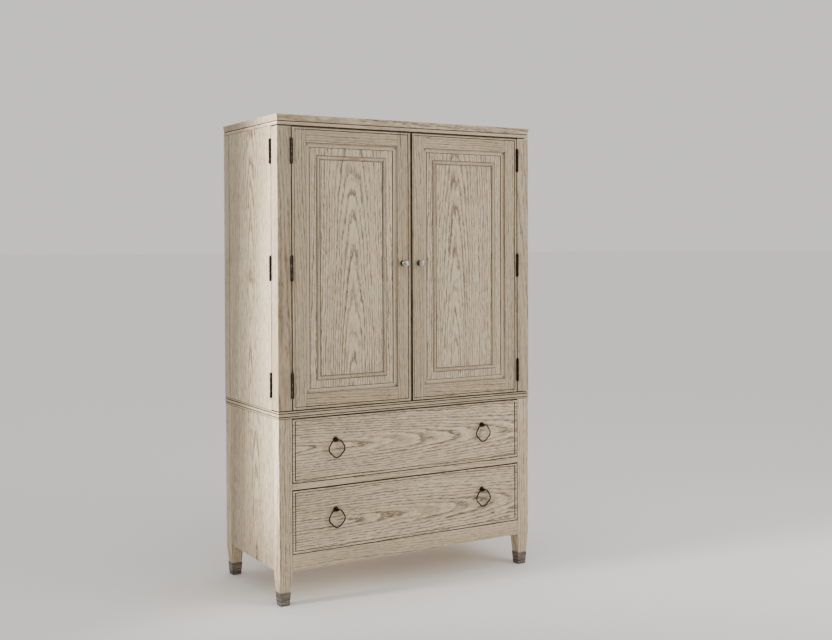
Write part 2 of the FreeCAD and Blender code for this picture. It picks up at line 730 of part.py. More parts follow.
def waist():
    """A flat band between two beads, each with a quirk beside it."""
    bead, high = "waist_bead_radius", "waist_height"
    low_band = f"2 * {bead} + waist_quirk_height"
    high_band = f"{high} - 2 * {bead} - waist_quirk_height"
    profile = [("-waist_width", "0"), (f"-{bead}", "0", bead, 1), ("0", bead, bead, 1),
               (f"-{bead}", f"2 * {bead}"), (f"-{bead}", low_band), ("0", low_band),
               ("0", high_band), (f"-{bead}", high_band), (f"-{bead}", f"{high} - 2 * {bead}", bead, 1),
               ("0", f"{high} - {bead}", bead, 1), (f"-{bead}", high), ("-waist_width", high)]
    node(surround("waist_strips", "waist_width", profile, "waist_low"), "waist_moulding")
    node(board("lower_top_board", ("-case_half + waist_width", "case_half - waist_width"),
               ("front + waist_width", "back"), ("waist_low", "waist_top")), "lower_top")


waist()


def leg(name):
    """A square leg that tapers on all four faces below the case."""
    body = new_body(name)
    half, foot = "leg_size / 2", "foot_size / 2"
    section = sketched(body, "section", [both_sides([
        (foot, "ferrule_floor"), (half, "taper_height"), (half, "waist_low")])])
    pad(body, section, "leg_size", middle=True)
    cuts = [[(f"{side} * {foot}", "ferrule_floor"), (f"{side} * {half}", "ferrule_floor"),
             (f"{side} * {half}", "taper_height")] for side in (-1, 1)]
    pocket(body, sketched(body, "face", cuts, name="taper"))
    return body


def ferrule(name):
    """A square metal cup on the foot, which leans outwards as the leg does."""
    body = new_body(name)
    lean = "(leg_size - foot_size) / 2 / (taper_height - ferrule_floor)"
    low = f"(foot_size / 2 + ferrule_wall - ferrule_floor * {lean})"
    high = f"({low} + ferrule_height * {lean})"
    section = sketched(body, "section", [both_sides([(low, "0"), (high, "ferrule_height")])])
    pad(body, section, f"2 * {high}", middle=True)
    cuts = [[(f"{side} * {low}", "0"), (f"{side} * {high}", "0"),
             (f"{side} * {high}", "ferrule_height")] for side in (-1, 1)]
    pocket(body, sketched(body, "face", cuts, name="lean"))
    return body


lower_back = board("lower_back_sheet", ("-leg_inner - groove_depth", "leg_inner + groove_depth"),
                   ("back_panel_face", "back_panel_face + back_thickness"),
                   ("taper_height", "waist_low"))
ferrules = []
for end, depth in (("front", "lower_front + leg_size / 2"), ("rear", "back - leg_size / 2")):
    turned_leg = bind(leg(f"{end}_leg_turning"), x="-leg_centre", y=depth)
    made = turned_leg if end == "front" else less("rear_leg", turned_leg, lower_back)
    node(made, f"leg_{end}_left")
    node(mirrored(f"{end}_leg_mirror", made), f"leg_{end}_right")
    cup = less(f"{end}_cup", bind(ferrule(f"{end}_ferrule"), x="-leg_centre", y=depth),
               turned_leg)
    ferrules += [cup, mirrored(f"{end}_ferrule_mirror", cup)]
node(group("ferrule_group", *ferrules), "ferrules")
node(lower_back, "lower_back_panel")

lower_side = board("lower_side_board", ("-lower_half", "-lower_side_inner"),
                   ("lower_front + leg_size", "back - leg_size"), ("taper_height", "waist_low"))
node(lower_side, "lower_side_left")
node(mirrored("lower_side_mirror", lower_side), "lower_side_right")
node(board("divider_board", ("-leg_inner", "leg_inner"),
           ("lower_front", "lower_front + divider_depth"),
           ("divider_low", "divider_top")), "divider_rail")
node(board("apron_board", ("-leg_inner", "leg_inner"),
           ("lower_front", "lower_front + apron_thickness"),
           ("taper_height", "apron_top")), "apron_rail")
node(joined("bottom_board", board(
    "bottom_middle", ("-lower_side_inner", "lower_side_inner"),
    ("lower_front + leg_size", "back - leg_size"),
    ("bottom_height", "bottom_height + bottom_thickness")), board(
    "bottom_ends", ("-leg_inner", "leg_inner"),
    ("lower_front + apron_thickness", "back_panel_face"),
    ("bottom_height", "bottom_height + bottom_thickness"))), "bottom_panel")

# Drawer slides: a fixed channel, a carriage that runs half as far, and the drawer's channel

OUTER_HALF = "(slide_height / 2)"
MIDDLE_HALF = "(slide_height / 2 - slide_sheet - race_height - 2 * race_gap)"
INNER_HALF = "(slide_height / 2 - 2 * slide_sheet - 2 * race_height - 4 * race_gap)"


def channel(name, web, edge, half_height, opens):
    """A sheet-metal channel with its web's back at one x and its flanges' edges at another."""
    inside = f"{web} + {opens} * slide_sheet"
    lip = f"{half_height} - slide_sheet"
    return slide_member(name, [
        (web, f"-{half_height}"), (edge, f"-{half_height}"), (edge, f"-({lip})"),
        (inside, f"-({lip})"), (inside, lip), (edge, lip), (edge, half_height),
        (web, half_height)])


def slide_member(name, outline):
    body = new_body(name)
    pad(body, sketched(body, "face", [outline]), "slide_length", other_way=True)
    return body


def slides(drawer, low):
    """Both slides of one drawer: gives back their fixed channels, which belong to the case."""
    fixed_channel = channel(f"{drawer}_case_channel", "0",
                            "slide_width - 2 * slide_sheet - slide_play", OUTER_HALF, 1)
    carriage = channel(f"{drawer}_carriage_channel", "carriage_web",
                       "outer_race + race_width + race_cover", MIDDLE_HALF, 1)
    moving = channel(f"{drawer}_drawer_channel", "slide_width", "inner_race", INNER_HALF, -1)
    races = []
    for side in (-1, 1):
        for half, start in ((MIDDLE_HALF, "outer_race"), (INNER_HALF, "inner_race")):
            ends = [f"{side} * ({half} + race_gap)", f"{side} * ({half} + race_gap + race_height)"]
            races.append(slide_member(f"{drawer}_race{len(races)}", rectangle(
                (start, f"{start} + race_width"), sorted(ends, key=worth))))
    for piece in (fixed_channel, carriage, moving, *races):
        bind(piece, x="-leg_inner", y="slide_front", z=f"{low} + slide_rise")
    left = group(f"{drawer}_carriage_left", carriage, *races)
    node(group(f"{drawer}_carriage_both", left, mirrored(f"{drawer}_carriage_mirror", left)),
         f"{drawer}_slide_carriages")
    node(group(f"{drawer}_member_pair", moving, mirrored(f"{drawer}_member_mirror", moving)),
         f"{drawer}_slide_members")
    return group(f"{drawer}_case_pair", fixed_channel,
                 mirrored(f"{drawer}_case_mirror", fixed_channel))


# Ring pulls


def pull_post(name):
    """A foot, a stem and a ball whose eye holds the ring."""
    body = new_body(name)
    half_view = [
        ("0", "field_recess"), ("pull_foot_radius", "field_recess"),
        ("pull_foot_radius", "-pull_foot_height"), ("pull_stem_radius", "-pull_foot_height"),
        ("pull_stem_radius", "-pull_reach + pull_ball_half"),
        ("pull_ball_radius", "-pull_reach + pull_ball_half"),
        ("pull_ball_radius", "-pull_reach"),
        ("pull_ball_radius - pull_ball_bevel", "-pull_reach - pull_ball_radius"),
        ("0", "-pull_reach - pull_ball_radius")]
    revolved(body, sketched(body, "plan", [half_view]))
    eye = sketched(body, "section", name="eye", circles=[("-pull_reach", "0", "eye_radius")])
    pocket(body, eye)
    return body


def ring_outline(sketch, grow, tag):
    """The ring's outline at a distance outside (or, if negative, inside) its middle line."""
    lobe, reach, drop = "ring_lobe_radius", "(ring_half_width - ring_lobe_radius)", "ring_half_width"
    radius = f"({lobe} + ({grow}))"
    centres = [("ring_bar_half", f"-{lobe}"), (reach, f"-{drop}"),
               ("0", f"-{drop} - {reach}"), (f"-{reach}", f"-{drop}"),
               ("-ring_bar_half", f"-{lobe}")]
    spots = [Vector(worth(x), worth(z), 0) for x, z in centres]
    sides = [Vector(0, 1, 0)]
    for one, other in zip(spots, spots[1:]):
        along = (other - one).normalize()
        sides.append(Vector(-along.y, along.x, 0))
    sides.append(Vector(0, 1, 0))
    spans = []
    for index, spot in enumerate(spots):
        start = spot + sides[index] * worth(radius)
        end = spot + sides[index + 1] * worth(radius)
        circle = Part.Circle(spot, Vector(0, 0, 1), worth(radius))
        arc = Part.ArcOfCircle(circle, circle.parameter(end), circle.parameter(start))
        spans.append(sketch.addGeometry(arc, False))
        after = spots[(index + 1) % 5] + sides[(index + 1) % 5] * worth(radius)
        spans.append(sketch.addGeometry(Part.LineSegment(end, after), False))
    for index in range(5):
        arc, line, before = spans[2 * index], spans[2 * index + 1], spans[2 * index - 1]
        fixed(sketch, f"{tag}{index}", arc, 3, *centres[index])
        sized(sketch, f"{tag}{index}_radius", arc, radius)
        sketch.addConstraint(Sketcher.Constraint("Tangent", before, 2, arc, 2))
        sketch.addConstraint(Sketcher.Constraint("Tangent", arc, 1, line, 1))


def ring(name):
    """A round-cornered diamond that hangs from a short straight bar at its top."""
    body = new_body(name)
    face = sketched(body, "face")
    ring_outline(face, "ring_thickness / 2", "outer")
    ring_outline(face, "-ring_thickness / 2", "inner")
    pad(body, face, "ring_thickness", middle=True)
    return body


def drawer(name, low, high):
    """A drawer between two levels of its opening: front, box, bottom and pulls."""
    half_height = f"(({high}) - ({low})) / 2 - drawer_gap"
    middle = f"(({high}) + ({low})) / 2"
    base = f"({low}) + drawer_box_rise"
    bottom_level = f"{base} + drawer_bottom_rise"
    box_back = "(back_panel_face - drawer_back_gap)"
    box_top = f"({high}) - drawer_top_gap"
    inner = "drawer_half - drawer_side_thickness"
    sheet = board(f"{name}_sheet",
                  (f"-({inner}) - bottom_groove", f"{inner} + bottom_groove"),
                  ("drawer_back_face - bottom_groove", box_back),
                  (bottom_level, f"{bottom_level} + drawer_bottom_thickness"))
    slab = beaded_slab(f"{name}_slab", "leg_inner - drawer_gap", half_height,
                       "drawer_front_thickness")
    bind(slab, y="lower_front", z=middle)
    node(less(f"{name}_front_cut", slab, sheet), f"{name}_front")
    side = less(f"{name}_side", board(
        f"{name}_side_board", ("-drawer_half", f"-({inner})"), ("drawer_back_face", box_back),
        (base, box_top)), sheet)
    rear = board(f"{name}_rear_board", (f"-({inner})", inner),
                 (f"{box_back} - drawer_side_thickness", box_back),
                 (f"{bottom_level} + drawer_bottom_thickness", box_top))
    node(group(f"{name}_box_boards", side, mirrored(f"{name}_side_mirror", side), rear),
         f"{name}_box")
    node(sheet, f"{name}_bottom")
    case_pair = slides(name, base)
    post = bind(pull_post(f"{name}_pull_turning"), x="-pull_across", y="lower_front",
                z=f"{middle} + pull_rise")
    node(group(f"{name}_posts", post, mirrored(f"{name}_post_mirror", post)),
         f"{name}_pull_posts")
    hoop = bind(ring(f"{name}_ring_bend"), x="-pull_across", y="lower_front - pull_reach",
                z=f"{middle} + pull_rise")
    node(hoop, f"{name}_ring_left")
    node(mirrored(f"{name}_ring_mirror", hoop), f"{name}_ring_right")
    return case_pair


node(group("case_channels", drawer("upper_drawer", "divider_top", "waist_low"),
           drawer("lower_drawer", "apron_top", "divider_low")), "slide_case_members")

# Check and write
doc.recompute()
for thing in doc.Objects:
    if "Invalid" in thing.State or "Error" in thing.State:
        raise RuntimeError(f"{thing.Name} failed: {thing.State}")
os.makedirs("parts", exist_ok=True)
for thing in NODES:
    if thing.Shape.isNull() or not thing.Shape.isValid() or not thing.Shape.Solids:
        raise RuntimeError(f"{thing.Label} has no valid solid")
for thing in NODES:
    thing.Shape.exportStep(os.path.join("parts", f"{thing.Label}.step"))
    box = thing.Shape.BoundBox
    print(f"{thing.Label}: {len(thing.Shape.Solids)} solids,"
          f" {box.XLength:.1f} x {box.YLength:.1f} x {box.ZLength:.1f}")
print(len(NODES), "nodes")
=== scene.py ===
# %% [markdown]
# # A door chest in brushed oak
#
# The real piece is a tall cupboard with two framed doors, standing on a base with two wide drawers. The CAD
# model holds every board, hinge and slide at its true size and place, and none of that changes here. This
# script adds what the CAD leaves plain: oak that is cut from a tree board by board, edges eased by sandpaper,
# round metalwork, and the light of a studio.

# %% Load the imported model
import json
import math
import random
import bmesh
import bpy
from mathutils import Matrix, Vector


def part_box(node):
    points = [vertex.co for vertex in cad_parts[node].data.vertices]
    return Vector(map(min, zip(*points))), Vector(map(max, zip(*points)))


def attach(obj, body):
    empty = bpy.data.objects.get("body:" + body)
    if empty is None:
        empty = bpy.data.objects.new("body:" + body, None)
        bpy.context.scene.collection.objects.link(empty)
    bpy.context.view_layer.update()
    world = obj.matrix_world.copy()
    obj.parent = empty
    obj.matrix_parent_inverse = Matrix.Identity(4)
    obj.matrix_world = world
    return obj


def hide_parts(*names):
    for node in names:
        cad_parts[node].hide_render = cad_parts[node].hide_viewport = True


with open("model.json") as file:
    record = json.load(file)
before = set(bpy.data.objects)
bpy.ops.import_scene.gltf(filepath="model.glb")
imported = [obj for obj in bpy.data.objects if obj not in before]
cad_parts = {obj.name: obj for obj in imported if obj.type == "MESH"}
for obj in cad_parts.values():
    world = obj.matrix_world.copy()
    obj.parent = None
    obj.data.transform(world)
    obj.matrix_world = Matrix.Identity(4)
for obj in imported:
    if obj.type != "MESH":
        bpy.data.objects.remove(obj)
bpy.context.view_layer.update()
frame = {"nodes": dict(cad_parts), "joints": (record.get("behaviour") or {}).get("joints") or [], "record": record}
nodes = frame["nodes"]
MM = 0.001
SLOTS = {part["node"]: part["material_slot"] for part in frame["record"]["subparts"]}
BODIES = {name: body for body, names in frame["record"]["behaviour"]["bodies"].items() for name in names}
bpy.ops.object.select_all(action="DESELECT")

# %% [markdown]
# ## The camera
#
# A photograph fixes only directions, so the camera was found by matching the corners of the crown, the doors
# and the feet, whose places the CAD gives. It stands at chest height, a little to the left, with a fairly long
# lens. It looks almost level and its frame is shifted down instead, which keeps upright edges upright.

# %% Set the camera at the photographer's place
CAMERA_PLACE = (-2.20078, -3.96731, 1.30131)
CAMERA_TURN = (89.275, 0.203, -30.838)
CAMERA_LENS = 48.81
CAMERA_SHIFT_DOWN = 0.0716

bpy.ops.object.camera_add(location=CAMERA_PLACE, rotation=[math.radians(angle) for angle in CAMERA_TURN])
camera = bpy.context.object
camera.name = "photo_camera"
camera.data.lens = CAMERA_LENS
camera.data.shift_y = -CAMERA_SHIFT_DOWN
bpy.context.scene.camera = camera
print("camera at", tuple(round(value, 2) for value in camera.location))

# %% [markdown]
# ## The studio
#
# A bright pale room gives most of the light. A tall strip lamp stands at the left, just behind the line of the
# front and turned a little forward. So it brightens the front edge of the left side, fades towards the back, and
# leaves the recesses of the doors in shade. A wide lamp at the right opens up the front, and one overhead gives
# the crown its light. The floor is a plain pale sheet, far wider than the view.

# %% Hang the lamps and lay the floor
LAMPS = {"side_lamp": ((-2.1, -0.08, 1.4), (-0.56, -0.38, 1.25), (0.25, 2.1), 36, 21, (1.0, 0.97, 0.93)),
         "front_lamp": ((2.1, -2.9, 1.7), (0.1, 0, 0.9), (2.0, 2.0), 180, 40, (1.0, 0.98, 0.96)),
         "top_lamp": ((0.2, -0.6, 4.2), (0, 0, 0.5), (2.4, 2.4), 180, 12, (1.0, 0.99, 0.97))}

for name, (place, aim, size, spread, power, tint) in LAMPS.items():
    bpy.ops.object.light_add(type="AREA", location=place)
    lamp = bpy.context.object
    lamp.name = name
    lamp.rotation_euler = (Vector(aim) - Vector(place)).to_track_quat("-Z", "Y").to_euler()
    lamp.data.shape = "RECTANGLE"
    lamp.data.size, lamp.data.size_y = size
    lamp.data.spread = math.radians(spread)
    lamp.data.energy = power
    lamp.data.color = tint

ROOM_TINT, ROOM_LIGHT = (1.0, 0.985, 0.96, 1), 0.85
world = bpy.data.worlds.new("pale_room")
world.use_nodes = True
world.node_tree.nodes["Background"].inputs["Color"].default_value = ROOM_TINT
world.node_tree.nodes["Background"].inputs["Strength"].default_value = ROOM_LIGHT
bpy.context.scene.world = world

FLOOR_SIZE, SHEET_TINT, SHEET_ROUGHNESS = 400, (0.92, 0.91, 0.89, 1), 0.8
bpy.ops.mesh.primitive_plane_add(size=FLOOR_SIZE)
floor = bpy.context.object
floor.name = "floor"
pale_sheet = bpy.data.materials.new("pale_sheet")
pale_sheet.use_nodes = True
pale_sheet.node_tree.nodes["Principled BSDF"].inputs["Base Color"].default_value = SHEET_TINT
pale_sheet.node_tree.nodes["Principled BSDF"].inputs["Roughness"].default_value = SHEET_ROUGHNESS
floor.data.materials.append(pale_sheet)
print("lamps:", ", ".join(LAMPS))

# %% [markdown]
# ## Small helpers for shader nodes
#
# A material is a little circuit. These helpers add one node each and link whatever they are given: a socket is
# linked, and a plain value is typed in. With them, a recipe reads from top to bottom like a cooking recipe.

# %% Helpers that add one node each
def feed(tree, socket, value):
    """Links a socket to another node's output, or types a value into it."""
    if isinstance(value, bpy.types.NodeSocket):
        tree.links.new(value, socket)
    else:
        socket.default_value = value


def add_node(tree, kind, settings=None, **inputs):
    """A shader node with its settings, and its inputs by name."""
    made = tree.nodes.new("ShaderNode" + kind)
    for name, value in (settings or {}).items():
        setattr(made, name, value)
    for name, value in inputs.items():
        feed(tree, made.inputs[name.replace("_", " ").title()], value)
    return made


def maths(tree, operation, *values):
    """One sum on numbers."""
    made = add_node(tree, "Math", {"operation": operation})
    for socket, value in zip(made.inputs, values):
        feed(tree, socket, value)
    return made.outputs[0]


def vector_maths(tree, operation, *values):
    """One sum on vectors."""
    made = add_node(tree, "VectorMath", {"operation": operation})
    for socket, value in zip(made.inputs, values):
        feed(tree, socket, value)
    return made.outputs["Value" if operation == "LENGTH" else "Vector"]


def noise(tree, vector, stretch, detail=2.0, output=0):
    """Noise whose grains are 1/stretch metres long on each axis."""
    scaled = vector_maths(tree, "MULTIPLY", vector, stretch)
    return add_node(tree, "TexNoise", vector=scaled, scale=1.0, detail=detail).outputs[output]


def ramp(tree, value, low, high, start=0.0, end=1.0):
    """A smooth change from start to end while the value goes from low to high."""
    made = add_node(tree, "MapRange", {"interpolation_type": "SMOOTHSTEP"})
    for socket, number in zip(made.inputs, (value, low, high, start, end)):
        feed(tree, socket, number)
    return made.outputs[0]


def blend(tree, factor, first, second, mode="MIX"):
    """Two colours mixed by a factor."""
    made = add_node(tree, "Mix", {"data_type": "RGBA", "blend_type": mode})
    for index, value in ((0, factor), (6, first), (7, second)):
        feed(tree, made.inputs[index], value)
    return made.outputs[2]


def new_group(name, inputs, outputs):
    """An empty node group with named sockets; gives its tree, its input node and its output node."""
    tree = bpy.data.node_groups.new(name, "ShaderNodeTree")
    for socket, (kind, value) in inputs.items():
        made = tree.interface.new_socket(socket, in_out="INPUT", socket_type="NodeSocket" + kind)
        if value is not None:
            made.default_value = value
    for socket, kind in outputs.items():
        tree.interface.new_socket(socket, in_out="OUTPUT", socket_type="NodeSocket" + kind)
    return tree, tree.nodes.new("NodeGroupInput"), tree.nodes.new("NodeGroupOutput")


def use_group(tree, group, **inputs):
    """Places a group in a material with its own values."""
    made = add_node(tree, "Group", {"node_tree": group})
    for name, value in inputs.items():
        feed(tree, made.inputs[name.replace("_", " ").title()], value)
    return made


def new_material(name):
    """A material with an empty tree and one Principled shader on its output."""
    material = bpy.data.materials.new(name)
    material.use_nodes = True
    tree = material.node_tree
    tree.nodes.clear()
    shader = tree.nodes.new("ShaderNodeBsdfPrincipled")
    output = tree.nodes.new("ShaderNodeOutputMaterial")
    tree.links.new(shader.outputs[0], output.inputs["Surface"])
    return material, tree, shader


def colour(red, green, blue):
    """A screen colour, each part 0 to 255, as the linear light that shaders use."""
    parts = [value / 255 for value in (red, green, blue)]
    return [part / 12.92 if part <= 0.04045 else ((part + 0.055) / 1.055) ** 2.4 for part in parts] + [1.0]


print("shader helpers ready")

# %% [markdown]
# ## The oak
#
# Oak shows its growth rings as a figure. A board sawn beside the heart shows arches, because it cuts the rings
# at a slant, and a board from further out shows straight lines. So the group works on log coordinates: how far a
# point lies across and behind the heart of its tree, and how far up the trunk. The rings are circles round the
# heart, which leans a little and wanders with slow noise. Oak is ring-porous: each ring starts with a row of
# open vessels and ends in dense latewood. Wire brushing tears the vessels out, so the same mask that darkens
# the lines also sinks them, and the latewood stays as a lighter ridge.

# %% Log coordinates and growth rings
HEART_LEAN, RING_WIDTH, RING_WANDER = 0.075, 0.0095, 0.05
WANDER_GRAIN, RIPPLE_GRAIN, SHIVER_GRAIN = (5.0, 5.0, 0.9), (60.0, 60.0, 7.0), (110.0, 110.0, 26.0)

oak_figure, start, finish = new_group(
    "oak_figure",
    {"Log": ("Vector", None), "Ring Width": ("Float", RING_WIDTH), "Wander": ("Float", RING_WANDER)},
    {"Rings": "Float", "Pores": "Float", "Ridges": "Float", "Tone": "Float", "Fibre": "Float", "Height": "Float"})
log = start.outputs["Log"]
wander = noise(oak_figure, log, WANDER_GRAIN, detail=3.0, output=1)
wander = vector_maths(oak_figure, "SUBTRACT", wander, (0.5, 0.5, 0.5))
sideways = vector_maths(oak_figure, "MULTIPLY", wander, (1.0, 1.0, 0.0))
bent = add_node(oak_figure, "VectorMath", {"operation": "SCALE"}, vector=sideways, scale=start.outputs["Wander"])
bent = vector_maths(oak_figure, "ADD", bent.outputs[0], log)
apart = add_node(oak_figure, "SeparateXYZ", vector=bent).outputs
behind = maths(oak_figure, "MULTIPLY_ADD", apart[2], HEART_LEAN, apart[1])
flat = add_node(oak_figure, "CombineXYZ", x=apart[0], y=behind).outputs[0]
from_heart = vector_maths(oak_figure, "LENGTH", flat)
ripple = noise(oak_figure, log, RIPPLE_GRAIN, detail=2.0)
shiver = noise(oak_figure, log, SHIVER_GRAIN, detail=1.0)
ring_count = maths(oak_figure, "DIVIDE", from_heart, start.outputs["Ring Width"])
ring_count = maths(oak_figure, "MULTIPLY_ADD", ripple, 1.1, ring_count)
ring_count = maths(oak_figure, "MULTIPLY_ADD", shiver, 0.5, ring_count)
season = maths(oak_figure, "FRACT", ring_count)
opening = ramp(oak_figure, season, 0.0, 0.12)
closing = ramp(oak_figure, season, 0.22, 0.55, 1.0, 0.0)
latewood = ramp(oak_figure, season, 0.5, 0.75)
year = add_node(oak_figure, "TexWhiteNoise", {"noise_dimensions": "1D"}, w=maths(oak_figure, "FLOOR", ring_count))
vigour = ramp(oak_figure, year.outputs["Value"], 0.0, 1.0, 0.25, 1.0)
ring = maths(oak_figure, "MULTIPLY", maths(oak_figure, "MULTIPLY", opening, closing), vigour)
print("growth rings", RING_WIDTH / MM, "mm wide")

# %% [markdown]
# ### Dashes, threads and pores
#
# Three finer patterns keep the lines from looking drawn. Short upright dashes break each ring up, threads follow
# the rings' bends between them, and small pores fill the rest. Smooth noise alone would look like fur: the even
# pitch of the rings is what reads as oak from across a room.

# %% Break the rings up and open the pores
WAVE_GRAIN, WAVE_REACH, DASH_GRAIN = (45.0, 45.0, 16.0), (0.012, 0.012, 0.0), (320.0, 320.0, 34.0)
VESSEL_GRAIN = (850.0, 850.0, 30.0)
THREADS_PER_RING, THREADS_ACROSS, THREADS_ALONG = 2.4, 15.0, 24.0

waves = noise(oak_figure, log, WAVE_GRAIN, detail=1.0, output=1)
waves = vector_maths(oak_figure, "MULTIPLY", vector_maths(oak_figure, "SUBTRACT", waves, (0.5, 0.5, 0.5)),
                     WAVE_REACH)
upright = noise(oak_figure, vector_maths(oak_figure, "ADD", bent, waves), DASH_GRAIN, detail=2.0)
threads = add_node(oak_figure, "CombineXYZ", x=maths(oak_figure, "MULTIPLY", ring_count, THREADS_PER_RING),
                   y=maths(oak_figure, "MULTIPLY", apart[0], THREADS_ACROSS),
                   z=maths(oak_figure, "MULTIPLY", apart[2], THREADS_ALONG))
flowing = add_node(oak_figure, "TexNoise", vector=threads.outputs[0], scale=1.0, detail=2.0).outputs[0]
rings = maths(oak_figure, "MULTIPLY", ring, ramp(oak_figure, upright, 0.41, 0.55, 0.1, 1.0))
ridges = maths(oak_figure, "MULTIPLY", latewood, ramp(oak_figure, upright, 0.46, 0.62, 1.0, 0.3))
brushed = maths(oak_figure, "MAXIMUM", ramp(oak_figure, flowing, 0.54, 0.64, 0.0, 0.6),
                ramp(oak_figure, upright, 0.55, 0.66, 0.0, 0.7))
brushed = maths(oak_figure, "MULTIPLY", brushed, ramp(oak_figure, ring, 0.0, 0.6, 0.6, 1.0))
vessels = ramp(oak_figure, noise(oak_figure, bent, VESSEL_GRAIN, detail=1.0), 0.52, 0.68)
vessels = maths(oak_figure, "MULTIPLY", vessels, ramp(oak_figure, ring, 0.0, 0.8, 0.3, 1.0))
pores = maths(oak_figure, "MAXIMUM", brushed, vessels)
print("oak figure so far:", len(oak_figure.nodes), "nodes")

# %% [markdown]
# ### Tone, fibre and relief
#
# The tone drifts over a hand's breadth, and the fibre is the silk that is left between the pores. What is dark
# is also sunk: the colour and the relief come from the same masks and always agree.

# %% Finish the oak figure
TONE_GRAIN, FIBRE_GRAIN = (8.0, 8.0, 1.1), (1500.0, 1500.0, 50.0)
PORE_SINK, RING_SINK, FIBRE_RISE = -0.7, -0.5, 0.12

tone = noise(oak_figure, log, TONE_GRAIN, detail=2.0)
fibre = noise(oak_figure, bent, FIBRE_GRAIN, detail=2.0)
sunk = maths(oak_figure, "MULTIPLY_ADD", pores, PORE_SINK, maths(oak_figure, "MULTIPLY", rings, RING_SINK))
height = maths(oak_figure, "MULTIPLY_ADD", fibre, FIBRE_RISE, sunk)
for name, value in (("Rings", rings), ("Pores", pores), ("Ridges", ridges), ("Tone", tone), ("Fibre", fibre),
                    ("Height", height)):
    feed(oak_figure, finish.inputs[name], value)
print("oak figure:", len(oak_figure.nodes), "nodes")

# %% [markdown]
# ## Handling and painted shade
#
# The maker rubs a dark glaze into the finished piece and wipes it off again. It stays in corners and grooves,
# and comes off edges. Ambient occlusion finds both: looked at from outside, it darkens where surfaces meet, and
# looked at from inside the solid, it darkens close to an outer edge. On the oak, the dark that it paints into
# corners, seams and hollows is glaze and painted shade together, and the light that it paints on edges is worn
# glaze and a painted highlight. Two reaches are needed: a wide one for the soft painted shade beside a moulding,
# and a narrow one for the dark line in a seam or a groove. The Bevel node lends every sharp edge the small round
# that a hand feels.

# %% Corners and edges as a node group
WOOD_REACHES = {"hollow_reach": 0.016, "corner_reach": 0.004, "edge_reach": 0.003, "round": 0.0008}
METAL_REACHES = {"hollow_reach": 0.01, "corner_reach": 0.006, "edge_reach": 0.0015, "round": 0.0003}

handling, start, finish = new_group(
    "handling",
    {name.replace("_", " ").title(): ("Float", value) for name, value in WOOD_REACHES.items()},
    {"Hollows": "Float", "Corners": "Float", "Edges": "Float", "Normal": "Vector"})
hollow = add_node(handling, "AmbientOcclusion", {"samples": 6}, distance=start.outputs["Hollow Reach"])
corner = add_node(handling, "AmbientOcclusion", {"samples": 6}, distance=start.outputs["Corner Reach"])
edge = add_node(handling, "AmbientOcclusion", {"samples": 6, "inside": True, "only_local": True},
                distance=start.outputs["Edge Reach"])
# Hollows and Corners are the masks for glaze and painted shade, Edges for worn glaze and a painted highlight.
feed(handling, finish.inputs["Hollows"], ramp(handling, hollow.outputs["AO"], 0.45, 0.95, 1.0, 0.0))
feed(handling, finish.inputs["Corners"], ramp(handling, corner.outputs["AO"], 0.72, 0.985, 1.0, 0.0))
feed(handling, finish.inputs["Edges"], ramp(handling, edge.outputs["AO"], 0.45, 0.85, 1.0, 0.0))
rounded = add_node(handling, "Bevel", {"samples": 4}, radius=start.outputs["Round"])
feed(handling, finish.inputs["Normal"], rounded.outputs[0])
print("handling:", len(handling.nodes), "nodes")

# %% [markdown]
# ## The two woods
#
# The outside is brushed oak with a pale grey-brown stain: three close tones for the wood, a darker one where
# the glaze fills the pores, and the darkest one, glaze and painted shade, in the corners and hollows. The inside
# is plain, clear-lacquered wood, with a quieter figure and little glaze and painted shade. Both are the same
# circuit with other values. Each board also carries two numbers of its own, its tone and the strength of its
# figure, because no two boards take the stain alike.

# %% A wood material from its colours
BLUSH_GRAIN, GLAZE_AND_SHADE_GRAIN, DARKER_BOARD = (11.0, 11.0, 2.2), (90.0, 90.0, 14.0), (0.6, 0.58, 0.54, 1.0)


